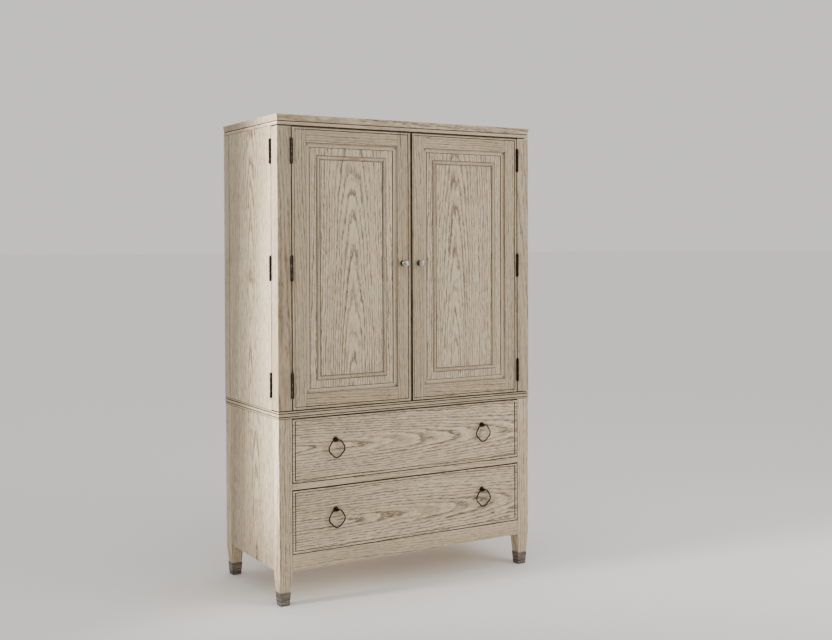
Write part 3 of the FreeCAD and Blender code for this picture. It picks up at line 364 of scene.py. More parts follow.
def wood(name, light, middle, warm, line, glaze_and_shade_colour, figure, glaze_and_painted_light, roughness, relief):
    """Oak with its figure, its glaze and painted shade in corners and hollows, its edges painted lighter as worn
    glaze and a painted highlight, and its brushed relief.
    """
    material, tree, shader = new_material(name)
    log_place = add_node(tree, "Attribute", {"attribute_name": "log"}).outputs["Vector"]
    oak = use_group(tree, oak_figure, log=log_place, ring_width=RING_WIDTH, wander=RING_WANDER).outputs
    touch_and_shade = use_group(tree, handling, **WOOD_REACHES).outputs
    paint = blend(tree, ramp(tree, oak["Tone"], 0.3, 0.7), middle, light)
    board = add_node(tree, "Attribute", {"attribute_name": "board"}).outputs["Vector"]
    board = add_node(tree, "SeparateXYZ", vector=board).outputs
    blush = noise(tree, log_place, BLUSH_GRAIN, detail=1.0)
    paint = blend(tree, ramp(tree, blush, 0.45, 0.7, 0.0, 0.7), paint, warm)
    calm = maths(tree, "MULTIPLY", board[1], figure)
    paint = blend(tree, maths(tree, "MULTIPLY", oak["Ridges"], calm), paint, light)
    paint = blend(tree, maths(tree, "MULTIPLY", oak["Rings"], calm), paint, line)
    paint = blend(tree, maths(tree, "MULTIPLY", oak["Pores"], calm), paint, line)
    paint = blend(tree, ramp(tree, oak["Fibre"], 0.35, 0.65, 0.0, 0.25), paint, light)
    paint = blend(tree, board[0], paint, DARKER_BOARD, "MULTIPLY")
    # Edges painted lighter: worn-off glaze and a painted highlight.
    paint = blend(tree, maths(tree, "MULTIPLY", touch_and_shade["Edges"], glaze_and_painted_light * 0.5), paint, light)
    # Uneven wiping sets how much glaze and painted shade stays in the corners.
    wiped_glaze_and_shade = ramp(tree, noise(tree, log_place, GLAZE_AND_SHADE_GRAIN), 0.4, 0.65, glaze_and_painted_light, glaze_and_painted_light * 0.75)
    # Hollows and corners painted darker: glaze and painted shade together.
    paint = blend(tree, maths(tree, "MULTIPLY", touch_and_shade["Hollows"], glaze_and_painted_light * 0.75), paint, glaze_and_shade_colour)
    paint = blend(tree, maths(tree, "MULTIPLY", touch_and_shade["Corners"], wiped_glaze_and_shade), paint, glaze_and_shade_colour)
    feed(tree, shader.inputs["Base Color"], paint)
    feed(tree, shader.inputs["Roughness"], ramp(tree, oak["Height"], -0.7, 0.1, roughness + 0.18, roughness))
    bump = add_node(tree, "Bump", distance=0.0012, strength=relief, height=oak["Height"], normal=touch_and_shade["Normal"])
    feed(tree, shader.inputs["Normal"], bump.outputs[0])
    shader.inputs["Specular IOR Level"].default_value = 0.35
    return material


brushed_oak = wood("wire_brushed_oak", colour(216, 199, 169), colour(180, 160, 131), colour(187, 163, 133),
                   colour(76, 62, 45), colour(34, 25, 16), figure=0.95, glaze_and_painted_light=0.97, roughness=0.58,
                   relief=0.6)
inner_wood = wood("plain_oak", colour(214, 190, 154), colour(198, 170, 132), colour(204, 168, 130),
                  colour(160, 126, 88), colour(96, 70, 46), figure=0.45, glaze_and_painted_light=0.35, roughness=0.42,
                  relief=0.15)
print("woods:", brushed_oak.name, inner_wood.name)

# %% [markdown]
# ## Working on a mesh
#
# Every piece below is made with the same few moves. It is picked, a modifier is run on it for good, and one
# solid is cut from another or welded to it. A CAD mesh arrives as loose triangles, so a copy of it is first
# merged back into whole flats: a Bevel would otherwise take the rim of every triangle for a sharp edge.

# %% Helpers to pick, merge, cut and measure
FLAT_ANGLE, EDGE_ANGLE = math.radians(0.5), math.radians(40)
MERGE_DISTANCE = 0.01 * MM


def pick_only(*pieces):
    """Selects these objects and makes the first one active."""
    bpy.ops.object.select_all(action="DESELECT")
    for piece in pieces:
        piece.select_set(True)
    bpy.context.view_layer.objects.active = pieces[0]


def use_modifier(piece, kind, **settings):
    """Adds a modifier with its settings and applies it."""
    pick_only(piece)
    modifier = piece.modifiers.new(kind.lower(), kind)
    for name, value in settings.items():
        setattr(modifier, name, value)
    bpy.ops.object.modifier_apply(modifier=modifier.name)


def merged_copy(node):
    """A new object with a copy of the node's mesh, its doubles merged and its flats made whole."""
    piece = bpy.data.objects.new(f"{node}_copy", nodes[node].data.copy())
    bpy.context.scene.collection.objects.link(piece)
    pick_only(piece)
    piece.data.materials.clear()
    if piece.data.has_custom_normals:
        bpy.ops.mesh.customdata_custom_splitnormals_clear()
    bpy.ops.object.mode_set(mode="EDIT")
    bpy.ops.mesh.select_all(action="SELECT")
    bpy.ops.mesh.remove_doubles(threshold=MERGE_DISTANCE)
    bpy.ops.mesh.dissolve_limited(angle_limit=FLAT_ANGLE)
    bpy.ops.object.mode_set(mode="OBJECT")
    return piece


def loose_parts(piece):
    """The separate solids of a mesh, each as an object of its own."""
    pick_only(piece)
    bpy.ops.object.mode_set(mode="EDIT")
    bpy.ops.mesh.select_all(action="SELECT")
    bpy.ops.mesh.separate(type="LOOSE")
    bpy.ops.object.mode_set(mode="OBJECT")
    return sorted(bpy.context.selected_objects, key=lambda part: part.name)


def box_piece(name, low, high):
    """A block between two corners given in millimetres."""
    middle = [(one + other) / 2 * MM for one, other in zip(low, high)]
    size = [(other - one) * MM for one, other in zip(low, high)]
    bpy.ops.mesh.primitive_cube_add(size=1, location=middle, scale=size)
    piece = bpy.context.object
    piece.name = name
    bpy.ops.object.transform_apply(location=True, rotation=True, scale=True)
    return piece


def combine(piece, tool, operation):
    """Cuts the tool from the piece, or welds it on, and removes the tool."""
    use_modifier(piece, "BOOLEAN", object=tool, operation=operation, solver="EXACT")
    bpy.data.objects.remove(tool)
    return piece


def limits(points):
    """The lowest and the highest corner of the box round some points."""
    return [Vector([pick(point[axis] for point in points) for axis in range(3)]) for pick in (min, max)]


print("mesh helpers ready")

# %% [markdown]
# ## Boards cut from a log
#
# Each board gets its own place in a tree. The board's longest side runs up the trunk and its thinnest side
# points at the heart. A wide board is sawn close to the heart, so that it shows arches, and a narrow one further
# out, so that it shows straight grain. The place is written on every point of the mesh as an attribute, and the
# oak group reads it. A narrow Bevel takes the sharpness off the edges, as sandpaper does. It may not grow past
# the board's own box, and the slivers that it leaves are dissolved. Every facet stays flat, as a planed board is.
#
# The frames, posts and rails are a shade darker than the panels, and the figure of the mouldings is calmer.

# %% Ease a board and give it its place in the tree
EASED_EDGE, CRISP_EDGE = 1.2 * MM, 0.1 * MM
WIDE_BOARD, NARROW_FIGURE, USUAL_SHADE, SHADE_SPREAD = 0.15, 0.65, 0.1, 0.05
ARCH_SHIFT, ARCH_DEPTH, STRAIGHT_SHIFT, STRAIGHT_DEPTH = (-0.12, 0.12), (0.035, 0.055), (0.09, 0.2), (0.02, 0.08)
UP_THE_TRUNK = (1.0, 30.0)
CALM_FIGURE = {"waist_moulding": 0.35, "crown_moulding": 0.35, "left_door_mouldings": 0.4,
               "right_door_mouldings": 0.4}
SHADES = {"left_corner_post": 0.7, "right_corner_post": 0.6, "left_door_stiles": 0.55, "right_door_stiles": 0.55,
          "left_door_rails": 0.5, "right_door_rails": 0.5, "crown_top": 0.4, "crown_moulding": 0.4,
          "waist_moulding": 0.4, "upper_rear_posts": 0.4, "upper_side_left": 0.35, "upper_side_right": 0.35,
          "lower_side_left": 0.55, "lower_side_right": 0.55, "lower_drawer_front": 0.25, "divider_rail": 0.3,
          "apron_rail": 0.3, "left_door_mouldings": 0.3, "right_door_mouldings": 0.3}
saw = random.Random(7)


def soften(piece, width):
    """Eases the sharp edges of a piece inside its own box and leaves every facet flat."""
    low, high = limits([vertex.co for vertex in piece.data.vertices])
    use_modifier(piece, "BEVEL", width=width, segments=2, limit_method="ANGLE", angle_limit=EDGE_ANGLE)
    for vertex in piece.data.vertices:
        vertex.co = [min(max(value, least), most) for value, least, most in zip(vertex.co, low, high)]
    pick_only(piece)
    bpy.ops.object.mode_set(mode="EDIT")
    bpy.ops.mesh.select_all(action="SELECT")
    bpy.ops.mesh.dissolve_degenerate(threshold=MERGE_DISTANCE)
    bpy.ops.object.mode_set(mode="OBJECT")
    bpy.ops.object.shade_flat()


def cut_from_log(board, tone, figure):
    """Writes on each point of a board how far it lies across, behind and along its tree."""
    points = [vertex.co for vertex in board.data.vertices]
    low, high = limits(points)
    behind, across, along = sorted(range(3), key=lambda axis: high[axis] - low[axis])
    middle = (low + high) / 2
    width = high[across] - low[across]
    side = saw.choice((-1, 1))
    if width > WIDE_BOARD:
        beside, depth = saw.uniform(*ARCH_SHIFT) * width, saw.uniform(*ARCH_DEPTH)
    else:
        beside, depth = side * saw.uniform(*STRAIGHT_SHIFT), saw.uniform(*STRAIGHT_DEPTH)
        figure *= NARROW_FIGURE
    height = saw.uniform(*UP_THE_TRUNK)
    board_look = (tone + saw.uniform(-SHADE_SPREAD, SHADE_SPREAD), figure, 0.0)
    look = board.data.attributes.new("board", "FLOAT_VECTOR", "POINT")
    look.data.foreach_set("vector", board_look * len(points))
    attribute = board.data.attributes.new("log", "FLOAT_VECTOR", "POINT")
    for point, value in zip(points, attribute.data):
        value.vector = (side * (point[across] - middle[across]) + beside,
                        point[behind] - middle[behind] + depth - HEART_LEAN * height,
                        point[along] - middle[along] + height)


def dress(piece, name, material, body, slot, *replaced):
    """Names a finished piece, gives it its material, ties it to its body and hides the CAD nodes that it replaces.
    """
    piece.name = name
    piece.data.name = name
    piece.data.materials.clear()
    piece.data.materials.append(material)
    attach(piece, body)
    if replaced:
        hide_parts(*replaced)
    return piece


print("boards with a shade of their own:", len(SHADES))

# %% [markdown]
# ## Grooves and gaps
#
# A scratch stock cuts fine grooves beside the mouldings of the doors and inside the beads of the drawers, where
# the glaze and the painted shade of the oak settle into crisp dark lines. Here four thin bars are subtracted for
# each ring of grooves. One more bar takes a step off the top edges of the drawer fronts and doors and off the
# meeting edge of the right door, where the real gaps show as bold shadow lines. The bars reach a little past each
# face, so every cut is clean.

# %% Scratch the grooves and cut the steps
PANEL_LINES = ((15.0, 3.0, 1.8, 2.0), (44.2, 1.8, 1.8, 1.8), (59.0, 2.8, 1.8, 2.6))
DRAWER_LINES = ((8.5, 4.6, 2.0, 3.6),)
TOP_STEP, TOP_STEP_DEPTH, DOOR_STEP, DOOR_STEP_DEPTH = 3.0, 5, 5.0, 8
BAR_PROUD, CUT_PAST = 2, 1


def scratch_lines(piece, frame_box, face, lines):
    """Rings of grooves on a front, each given by its inset, its widths upright and level, and its depth."""
    low, high = [corner / MM for corner in frame_box]
    for near, upright_width, level_width, depth in lines:
        left, right, down, up = low.x + near, high.x - near, low.z + near, high.z - near
        bars = [(left, left + upright_width, down, up), (right - upright_width, right, down, up),
                (left, right, down, down + level_width), (left, right, up - level_width, up)]
        for start, end, bottom, top in bars:
            bar = box_piece("bar", (start, face - BAR_PROUD, bottom), (end, face + depth, top))
            combine(piece, bar, "DIFFERENCE")


def cut_steps(node, parts):
    """Takes the steps off the edges of a front that lie beside the bold gaps."""
    low, high = [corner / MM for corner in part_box(node)]
    if node.endswith(("drawer_front", "door_stiles", "door_rails")):
        for part in parts:
            if part.bound_box[1][2] / MM > high.z - TOP_STEP:
                step = box_piece("step", (low.x - CUT_PAST, low.y - CUT_PAST, high.z - TOP_STEP),
                                 (high.x + CUT_PAST, low.y + TOP_STEP_DEPTH, high.z + CUT_PAST))
                combine(part, step, "DIFFERENCE")
    if node == "right_door_stiles":
        step = box_piece("step", (low.x - CUT_PAST, low.y - CUT_PAST, low.z - CUT_PAST),
                         (low.x + DOOR_STEP, low.y + DOOR_STEP_DEPTH, high.z + CUT_PAST))
        combine(min(parts, key=lambda part: part.bound_box[0][0]), step, "DIFFERENCE")


print("grooves on each door:", len(PANEL_LINES), "and on each drawer:", len(DRAWER_LINES))

# %% [markdown]
# ## All the boards
#
# Every wooden node of the CAD is made the same way: copied, taken apart into its boards, scratched and stepped
# where it is a front, eased, cut from the log and joined again. The set then replaces its CAD node.

# %% Cut every board
def board_set(node, material):
    """All the boards of one node, eased, cut from their logs and joined again."""
    parts = loose_parts(merged_copy(node))
    if node.endswith("door_panel"):
        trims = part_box(node.replace("panel", "mouldings"))
        scratch_lines(parts[0], trims, trims[1].y / MM, PANEL_LINES)
    if node.endswith("drawer_front"):
        scratch_lines(parts[0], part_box(node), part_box(node)[0].y / MM, DRAWER_LINES)
    cut_steps(node, parts)
    for part in parts:
        soften(part, CRISP_EDGE if node.endswith("door_panel") else EASED_EDGE)
        cut_from_log(part, SHADES.get(node, USUAL_SHADE), CALM_FIGURE.get(node, 1.0))
    pick_only(*parts)
    if len(parts) > 1:
        bpy.ops.object.join()
    return dress(parts[0], f"{node}_{material.name}", material, BODIES[node], SLOTS[node], node)


WOODS = {"brushed_oak": brushed_oak, "inner_wood": inner_wood}
boards = [board_set(node, WOODS[slot]) for node, slot in sorted(SLOTS.items()) if slot in WOODS]
print(f"{len(boards)} board sets, {sum(len(piece.data.polygons) for piece in boards)} faces")

# %% [markdown]
# ## Metal finishes
#
# There are five finishes. The hinges and the ring pulls are bronze, aged almost black, that shows through where
# fingers and dusters rub it. The ferrules and the knobs are pewter: the ferrules brushed across, the heads of
# the knobs hammered, their stems coloured dark as painted shade under the heads. The slides are zinc-plated
# steel. One group gives the cloudiness and the fine scratches that all of them share, and each metal sets its own
# colours and strengths.

# %% Cloudiness and scratches as a node group
CLOUD_GRAIN, PIT_GRAIN = (90.0, 90.0, 90.0), (700.0, 700.0, 700.0)

patina, start, finish = new_group(
    "patina",
    {"Place": ("Vector", None), "Brushing": ("Vector", None)},
    {"Clouds": "Float", "Scratches": "Float", "Height": "Float"})
clouds = noise(patina, start.outputs["Place"], CLOUD_GRAIN, detail=3.0)
brushed = vector_maths(patina, "MULTIPLY", start.outputs["Place"], start.outputs["Brushing"])
lines = add_node(patina, "TexNoise", vector=brushed, scale=1.0, detail=3.0).outputs[0]
pits = noise(patina, start.outputs["Place"], PIT_GRAIN, detail=2.0)
feed(patina, finish.inputs["Clouds"], ramp(patina, clouds, 0.35, 0.65))
feed(patina, finish.inputs["Scratches"], ramp(patina, lines, 0.35, 0.65))
feed(patina, finish.inputs["Height"], maths(patina, "MULTIPLY_ADD", pits, 0.4, lines))
print("patina:", len(patina.nodes), "nodes")

# %% A metal material from its colours
def metal(name, deep, bright, rubbed, brushing, roughness, relief, rubbing, cloudy=1.0, streaks=0.3):
    """A metal from its deep, bright and rubbed colours, and the way it is brushed."""
    material, tree, shader = new_material(name)
    place = add_node(tree, "TexCoord").outputs["Object"]
    surface = use_group(tree, patina, place=place, brushing=brushing).outputs
    touch_and_shade = use_group(tree, handling, **METAL_REACHES).outputs
    paint = blend(tree, maths(tree, "MULTIPLY", surface["Clouds"], cloudy), deep, bright)
    paint = blend(tree, maths(tree, "MULTIPLY", surface["Scratches"], streaks), paint, rubbed)
    paint = blend(tree, maths(tree, "MULTIPLY", touch_and_shade["Edges"], rubbing), paint, rubbed)
    paint = blend(tree, maths(tree, "MULTIPLY", touch_and_shade["Corners"], 0.6), paint, deep)
    feed(tree, shader.inputs["Base Color"], paint)
    feed(tree, shader.inputs["Roughness"],
         ramp(tree, surface["Scratches"], 0.0, 1.0, roughness + 0.12, roughness - 0.08))
    bump = add_node(tree, "Bump", distance=0.0002, strength=relief, height=surface["Height"],
                    normal=touch_and_shade["Normal"])
    feed(tree, shader.inputs["Normal"], bump.outputs[0])
    shader.inputs["Metallic"].default_value = 1.0
    return material


EVEN, ACROSS, ALONG_Y = (400.0, 400.0, 400.0), (16.0, 16.0, 420.0), (1200.0, 30.0, 1200.0)
dark_bronze = metal("aged_bronze", colour(22, 20, 19), colour(35, 32, 30), colour(80, 71, 62), EVEN,
                    roughness=0.48, relief=0.4, rubbing=0.2)
pewter = metal("brushed_pewter", colour(80, 72, 65), colour(112, 103, 94), colour(196, 187, 176), ACROSS,
               roughness=0.45, relief=0.6, rubbing=0.8, cloudy=0.5, streaks=0.4)
# The stem's dark pewter is painted shade under the knob's wide head.
shaded_stem_pewter = metal("dark_pewter", colour(34, 30, 27), colour(56, 50, 45), colour(110, 101, 92), EVEN,
                    roughness=0.42, relief=0.4, rubbing=0.4)
knob_pewter = metal("hammered_pewter", colour(120, 112, 106), colour(176, 168, 160), colour(214, 208, 200),
                    EVEN, roughness=0.34, relief=0.4, rubbing=0.6)
slide_steel = metal("zinc_steel", colour(150, 152, 156), colour(188, 190, 192), colour(214, 214, 216),
                    ALONG_Y, roughness=0.3, relief=0.25, rubbing=0.3)
print("metals:", dark_bronze.name, pewter.name, shaded_stem_pewter.name, knob_pewter.name, slide_steel.name)

# %% [markdown]
# ## Small pieces by hand
#
# In a window, a part of a mesh is picked with the mouse. In a script it is picked by where it lies or which way
# it looks. So these helpers select faces and edges by a test, and close a mesh with its faces turned outwards.

# %% Helpers for edit mode
def open_mesh(piece):
    """Edit mode with nothing selected."""
    pick_only(piece)
    bpy.ops.object.mode_set(mode="EDIT")
    bpy.ops.mesh.select_all(action="DESELECT")


def pick_faces(piece, test):
    """Selects, in edit mode, the faces whose middle and normal pass the test."""
    mesh = bmesh.from_edit_mesh(piece.data)
    for face in mesh.faces:
        face.select_set(bool(test(face.calc_center_median(), face.normal)))
    bmesh.update_edit_mesh(piece.data)


def pick_edges(piece, test):
    """Selects, in edit mode, the edges whose two ends pass the test."""
    mesh = bmesh.from_edit_mesh(piece.data)
    for edge in mesh.edges:
        edge.select_set(bool(test(edge.verts[0].co, edge.verts[1].co)))
    bmesh.update_edit_mesh(piece.data)


def close_mesh():
    """Turns all faces outwards, leaves edit mode and shades the rounds smoothly."""
    bpy.ops.mesh.select_all(action="SELECT")
    bpy.ops.mesh.remove_doubles(threshold=MERGE_DISTANCE)
    bpy.ops.mesh.normals_make_consistent(inside=False)
    bpy.ops.object.mode_set(mode="OBJECT")
    bpy.ops.object.shade_smooth_by_angle(angle=EDGE_ANGLE)


print("edit mode helpers ready")

# %% [markdown]
# ## Turning on a lathe
#
# The knobs, the roses and the screws are round, so they are made as a turner thinks of them: a list of heights
# and radii, from the foot up. A circle is extruded to each height and resized to each radius. It stands on its
# foot at the origin, ready to be copied to its places. A copy for the other side is mirrored, which turns it
# inside out, so its faces are flipped back.

# %% Turn, copy and join
def turned(name, profile, sides=32):
    """A round piece from heights and radii in millimetres, standing on its foot."""
    height, radius = profile[0]
    bpy.ops.mesh.primitive_circle_add(vertices=sides, radius=radius * MM, fill_type="NGON",
                                      location=(0, 0, height * MM))
    piece = bpy.context.object
    piece.name = name
    bpy.ops.object.transform_apply(location=True)
    bpy.ops.object.mode_set(mode="EDIT")
    bpy.ops.mesh.select_all(action="SELECT")
    for next_height, next_radius in profile[1:]:
        rise, share = (next_height - height) * MM, next_radius / radius
        bpy.ops.mesh.extrude_region_move(TRANSFORM_OT_translate={"value": (0, 0, rise)})
        bpy.ops.transform.resize(value=(share, share, 1), center_override=(0, 0, next_height * MM))
        height, radius = next_height, next_radius
    close_mesh()
    return piece


def placed(source, matrix):
    """A copy with its own mesh, moved by a matrix; a mirrored one is turned right side out."""
    piece = bpy.data.objects.new(source.name, source.data.copy())
    bpy.context.scene.collection.objects.link(piece)
    piece.data.transform(matrix)
    if matrix.determinant() < 0:
        piece.data.flip_normals()
    return piece


def joined(*pieces):
    """One object out of several."""
    pick_only(*pieces)
    bpy.ops.object.join()
    return pieces[0]


def at(x, y, z):
    """A move given in millimetres."""
    return Matrix.Translation(Vector((x, y, z)) * MM)


FACING_FRONT = Matrix.Rotation(math.radians(90), 4, "X")
MIRROR = Matrix.Scale(-1, 4, (1, 0, 0))
print("lathe and copies ready")

# %% [markdown]
# ## Butt hinges
#
# Three hinges join each side panel to its corner post, and three more join the post to its door, so the door can
# fold right back along the side. Only the barrels show while the doors are shut: three knuckles round one pin,
# with a small turned tip at each end. The leaves lie in the seams. The CAD holds the barrels with eight sides,
# so here they are made round, from a cylinder with eased ends, and each leaf gets three countersunk screws.

# %% A countersunk screw and a round knuckle
HINGE_LENGTH, BARREL_RADIUS, KNUCKLE_GAP, PIN_RADIUS = 89.0, 3.88, 0.4, 2.0
KNUCKLE_EASE, PIN_REACH = 0.35, 43.9
LEAF_NEAR, LEAF_FAR, LEAF_THICKNESS, SEAM_HALF, LEAF_CORNER, NECK_LAP = 4.6, 21.2, 1.6, 1.8, 1.2, 1
KNUCKLE = (HINGE_LENGTH - 2 * KNUCKLE_GAP) / 3
SCREW_PLACES = ((10.0, -33.0), (16.0, 0.0), (10.0, 33.0))
TIP = ((43.8, 3.0), (44.6, 3.6), (45.1, 3.6), (45.5, 2.8), (45.9, 2.4), (46.3, 1.6), (46.5, 0.4))

SCREW_PROFILE = [(-1.4, 1.6), (-0.9, 2.2), (-0.05, 3.3), (0.05, 3.1)]
screw = turned("screw", SCREW_PROFILE, sides=14)
combine(screw, box_piece("slot", (-4, -0.4, -0.4), (4, 0.4, 1)), "DIFFERENCE")


def knuckle(low, high):
    """One round knuckle with eased ends."""
    bpy.ops.mesh.primitive_cylinder_add(vertices=28, radius=BARREL_RADIUS * MM, depth=(high - low) * MM,
                                        location=(0, 0, (low + high) / 2 * MM))
    piece = bpy.context.object
    bpy.ops.object.transform_apply(location=True)
    open_mesh(piece)
    pick_faces(piece, lambda middle, normal: abs(normal.z) > 0.9)
    bpy.ops.mesh.bevel(offset=KNUCKLE_EASE * MM, segments=2, affect="EDGES")
    close_mesh()
    return piece


print("knuckle", round(KNUCKLE, 2), "mm long")

# %% One hinge, standing on the origin with its pin upright
def leaf(name, side, spans):
    """A leaf on one side of the pin, with its necks, its knuckles and its screws."""
    outer, inner = side * (SEAM_HALF - LEAF_THICKNESS), side * SEAM_HALF
    across = sorted((outer, inner))
    plate = box_piece(name, (across[0], LEAF_NEAR, -HINGE_LENGTH / 2), (across[1], LEAF_FAR, HINGE_LENGTH / 2))
    open_mesh(plate)
    pick_edges(plate, lambda one, other: one.y > LEAF_FAR * MM * 0.99 and other.y > LEAF_FAR * MM * 0.99
               and abs(one.z - other.z) < MM)
    bpy.ops.mesh.bevel(offset=LEAF_CORNER * MM, segments=3, affect="EDGES")
    close_mesh()
    for low, high in spans:
        neck = box_piece("neck", (across[0], PIN_RADIUS, low), (across[1], LEAF_NEAR + NECK_LAP, high))
        combine(plate, neck, "UNION")
        combine(plate, knuckle(low, high), "UNION")
    facing = Matrix.Rotation(math.radians(-90 * side), 4, "Y")
    heads = [placed(screw, at(outer, across_leaf, height) @ facing) for across_leaf, height in SCREW_PLACES]
    return joined(plate, *heads)


HALF = HINGE_LENGTH / 2
fixed_leaf = leaf("fixed_leaf", -1, [(-HALF, -HALF + KNUCKLE), (HALF - KNUCKLE, HALF)])
moving_leaf = leaf("moving_leaf", 1, [(-KNUCKLE / 2, KNUCKLE / 2)])
pin = turned("pin", [(-PIN_REACH, PIN_RADIUS), (PIN_REACH, PIN_RADIUS)] + list(TIP), sides=24)
lower_tip = turned("tip", TIP, sides=24)
lower_tip.data.transform(Matrix.Rotation(math.pi, 4, "X"))
pin = joined(pin, lower_tip)
print("hinge leaf:", len(fixed_leaf.data.polygons), "faces")

# %% [markdown]
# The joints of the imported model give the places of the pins, and the box of the door's leaves gives the heights
# of the three hinges. The left side is built first and the right side is its mirror image. Each leaf rides on
# the body that it is screwed to, so every hinge opens between its own knuckles.

# %% Hang the hinges in both seams of both posts
PINS = {joint["name"]: Vector(joint["pos_m"]) / MM for joint in frame["joints"] if "pos_m" in joint}
leaves_low, leaves_high = [corner.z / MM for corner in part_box("left_door_hinge_leaves")]
LEVELS = (leaves_low + HALF, (leaves_low + leaves_high) / 2, leaves_high - HALF)
SIDE_SEAM, DOOR_SEAM = PINS["left_post_swing"], PINS["left_door_swing"]
INTO_SIDE, INTO_DOOR = Matrix.Rotation(math.radians(-90), 4, "Z"), Matrix.Identity(4)


def hinge_set(source, seam, turn):
    """One piece of the hinge at all three heights of the left seam."""
    return [placed(source, at(seam.x, seam.y, level) @ turn) for level in LEVELS]


case_left = joined(*hinge_set(fixed_leaf, SIDE_SEAM, INTO_SIDE), *hinge_set(pin, SIDE_SEAM, INTO_SIDE))
case_set = joined(case_left, placed(case_left, MIRROR))
dress(case_set, "side_panel_hinges", dark_bronze, "case", "dark_bronze", "case_hinge_leaves")
post_set = joined(*hinge_set(moving_leaf, SIDE_SEAM, INTO_SIDE), *hinge_set(fixed_leaf, DOOR_SEAM, INTO_DOOR),
                  *hinge_set(pin, DOOR_SEAM, INTO_DOOR))
door_set = joined(*hinge_set(moving_leaf, DOOR_SEAM, INTO_DOOR))
for side, turn in (("right", MIRROR), ("left", Matrix.Identity(4))):
    for part, source in (("post", post_set), ("door", door_set)):
        piece = source if side == "left" else placed(source, turn)
        dress(piece, f"{side}_{part}_hinges", dark_bronze, f"{side}_{part}", "dark_bronze",
              f"{side}_{part}_hinge_leaves")
for blank in (fixed_leaf, moving_leaf, pin, screw):
    bpy.data.objects.remove(blank)
print("hinges at heights", [round(level) for level in LEVELS])

# %% [markdown]
# ## Ring pulls
#
# A pull is a turned post, with a stepped rose against the drawer and a ball at its end, and a ring of round wire
# that hangs in the ball's eye. The wire follows a round-cornered diamond: five arcs of the same radius and the
# straight runs that touch them. So it is made as a smith bends it: a round section is spun about each arc's
# middle, and pushed along each straight run. The eye is drilled through the ball with a Boolean modifier.

# %% The post and the ring, each standing on the origin
EYE_OUT, BALL_RADIUS, FIELD_RECESS, EYE_RADIUS = 12.0, 6.5, 1.2, 3.1
WIRE_RADIUS, LOBE_RADIUS, RING_HALF, BAR_HALF = 2.4, 19.0, 32.5, 5.5
BALL_STEPS, BALL_START, BALL_SWEEP, SPIN_STEP = 9, -55, 143, 9
ball = []
for step in range(BALL_STEPS + 1):
    angle = math.radians(BALL_START + step * BALL_SWEEP / BALL_STEPS)
    ball.append((EYE_OUT + BALL_RADIUS * math.sin(angle), BALL_RADIUS * math.cos(angle)))
ROSE_PROFILE = [(-FIELD_RECESS, 9.0), (0.0, 9.0), (0.7, 8.6), (1.0, 7.6), (1.3, 7.2), (1.9, 6.9), (2.3, 6.2),
                (2.6, 4.6), (3.1, 3.9), (4.2, 3.3), (5.6, 3.2)]
pull_post = turned("pull_post", ROSE_PROFILE + ball)
bpy.ops.mesh.primitive_cylinder_add(vertices=24, radius=EYE_RADIUS * MM, depth=4 * BALL_RADIUS * MM,
                                    rotation=(0, math.radians(90), 0), location=(0, 0, EYE_OUT * MM))
combine(pull_post, bpy.context.object, "DIFFERENCE")


def bent_ring():
    """Round wire bent about five lobes, hanging from the origin in the plane that faces the front."""
    lobe, reach = LOBE_RADIUS * MM, (RING_HALF - LOBE_RADIUS) * MM
    bar, drop = BAR_HALF * MM, RING_HALF * MM
    centres = [Vector((bar, 0, -lobe)), Vector((reach, 0, -drop)), Vector((0, 0, -drop - reach)),
               Vector((-reach, 0, -drop)), Vector((-bar, 0, -lobe))]
    bpy.ops.mesh.primitive_circle_add(vertices=14, radius=WIRE_RADIUS * MM, location=(bar, 0, 0),
                                      rotation=(0, math.radians(90), 0))
    piece = bpy.context.object
    bpy.ops.object.transform_apply(location=True, rotation=True)
    bpy.ops.object.mode_set(mode="EDIT")
    bpy.ops.mesh.select_all(action="SELECT")
    up = Vector((0, 0, 1))
    for centre, after in zip(centres, centres[1:] + centres[:1]):
        run = after - centre
        outward = Vector((-run.z, 0, run.x)).normalized()
        turn = up.angle(outward)
        bpy.ops.mesh.spin(steps=round(math.degrees(turn) / SPIN_STEP), angle=-turn, center=centre, axis=(0, 1, 0))
        bpy.ops.mesh.extrude_region_move(TRANSFORM_OT_translate={"value": run})
        up = outward
    close_mesh()
    piece.name = "bent_ring"
    return piece


ring = bent_ring()
ring_size = ring.dimensions / MM
print(f"ring {ring_size.x:.1f} wide, {ring_size.z:.1f} high; post {len(pull_post.data.polygons)} faces")

# %% Hang two pulls on each drawer
for drawer in ("upper_drawer", "lower_drawer"):
    level = drawer.split("_")[0]
    posts = []
    for side in ("left", "right"):
        eye = PINS[f"{level}_ring_{side}_lift"]
        posts.append(placed(pull_post, at(eye.x, eye.y + EYE_OUT, eye.z) @ FACING_FRONT))
        hanging = placed(ring, at(*eye))
        dress(hanging, f"{drawer}_pull_ring_{side}", dark_bronze, f"{level}_ring_{side}", "dark_bronze",
              f"{drawer}_ring_{side}")
    dress(joined(*posts), f"{drawer}_posts_and_roses", dark_bronze, drawer, "dark_bronze",
          f"{drawer}_pull_posts")
for blank in (pull_post, ring):
    bpy.data.objects.remove(blank)

# %% [markdown]
# ## Hammered knobs
#
# Each door has one knob: a thin stem on a small foot, coloured dark as painted shade under the head, and a
# bright, wide head whose face a smith has struck all over. The two are turned apart, as they are on the real
# knob, so the stem can take its darker colour. A Displace modifier dents the head with the cells of a Voronoi
# texture, which look like overlapping hammer marks.
# Only the points above its seat are in the group that the modifier moves. The strike plate of the catch, on the
# back of the same door, comes from the CAD.

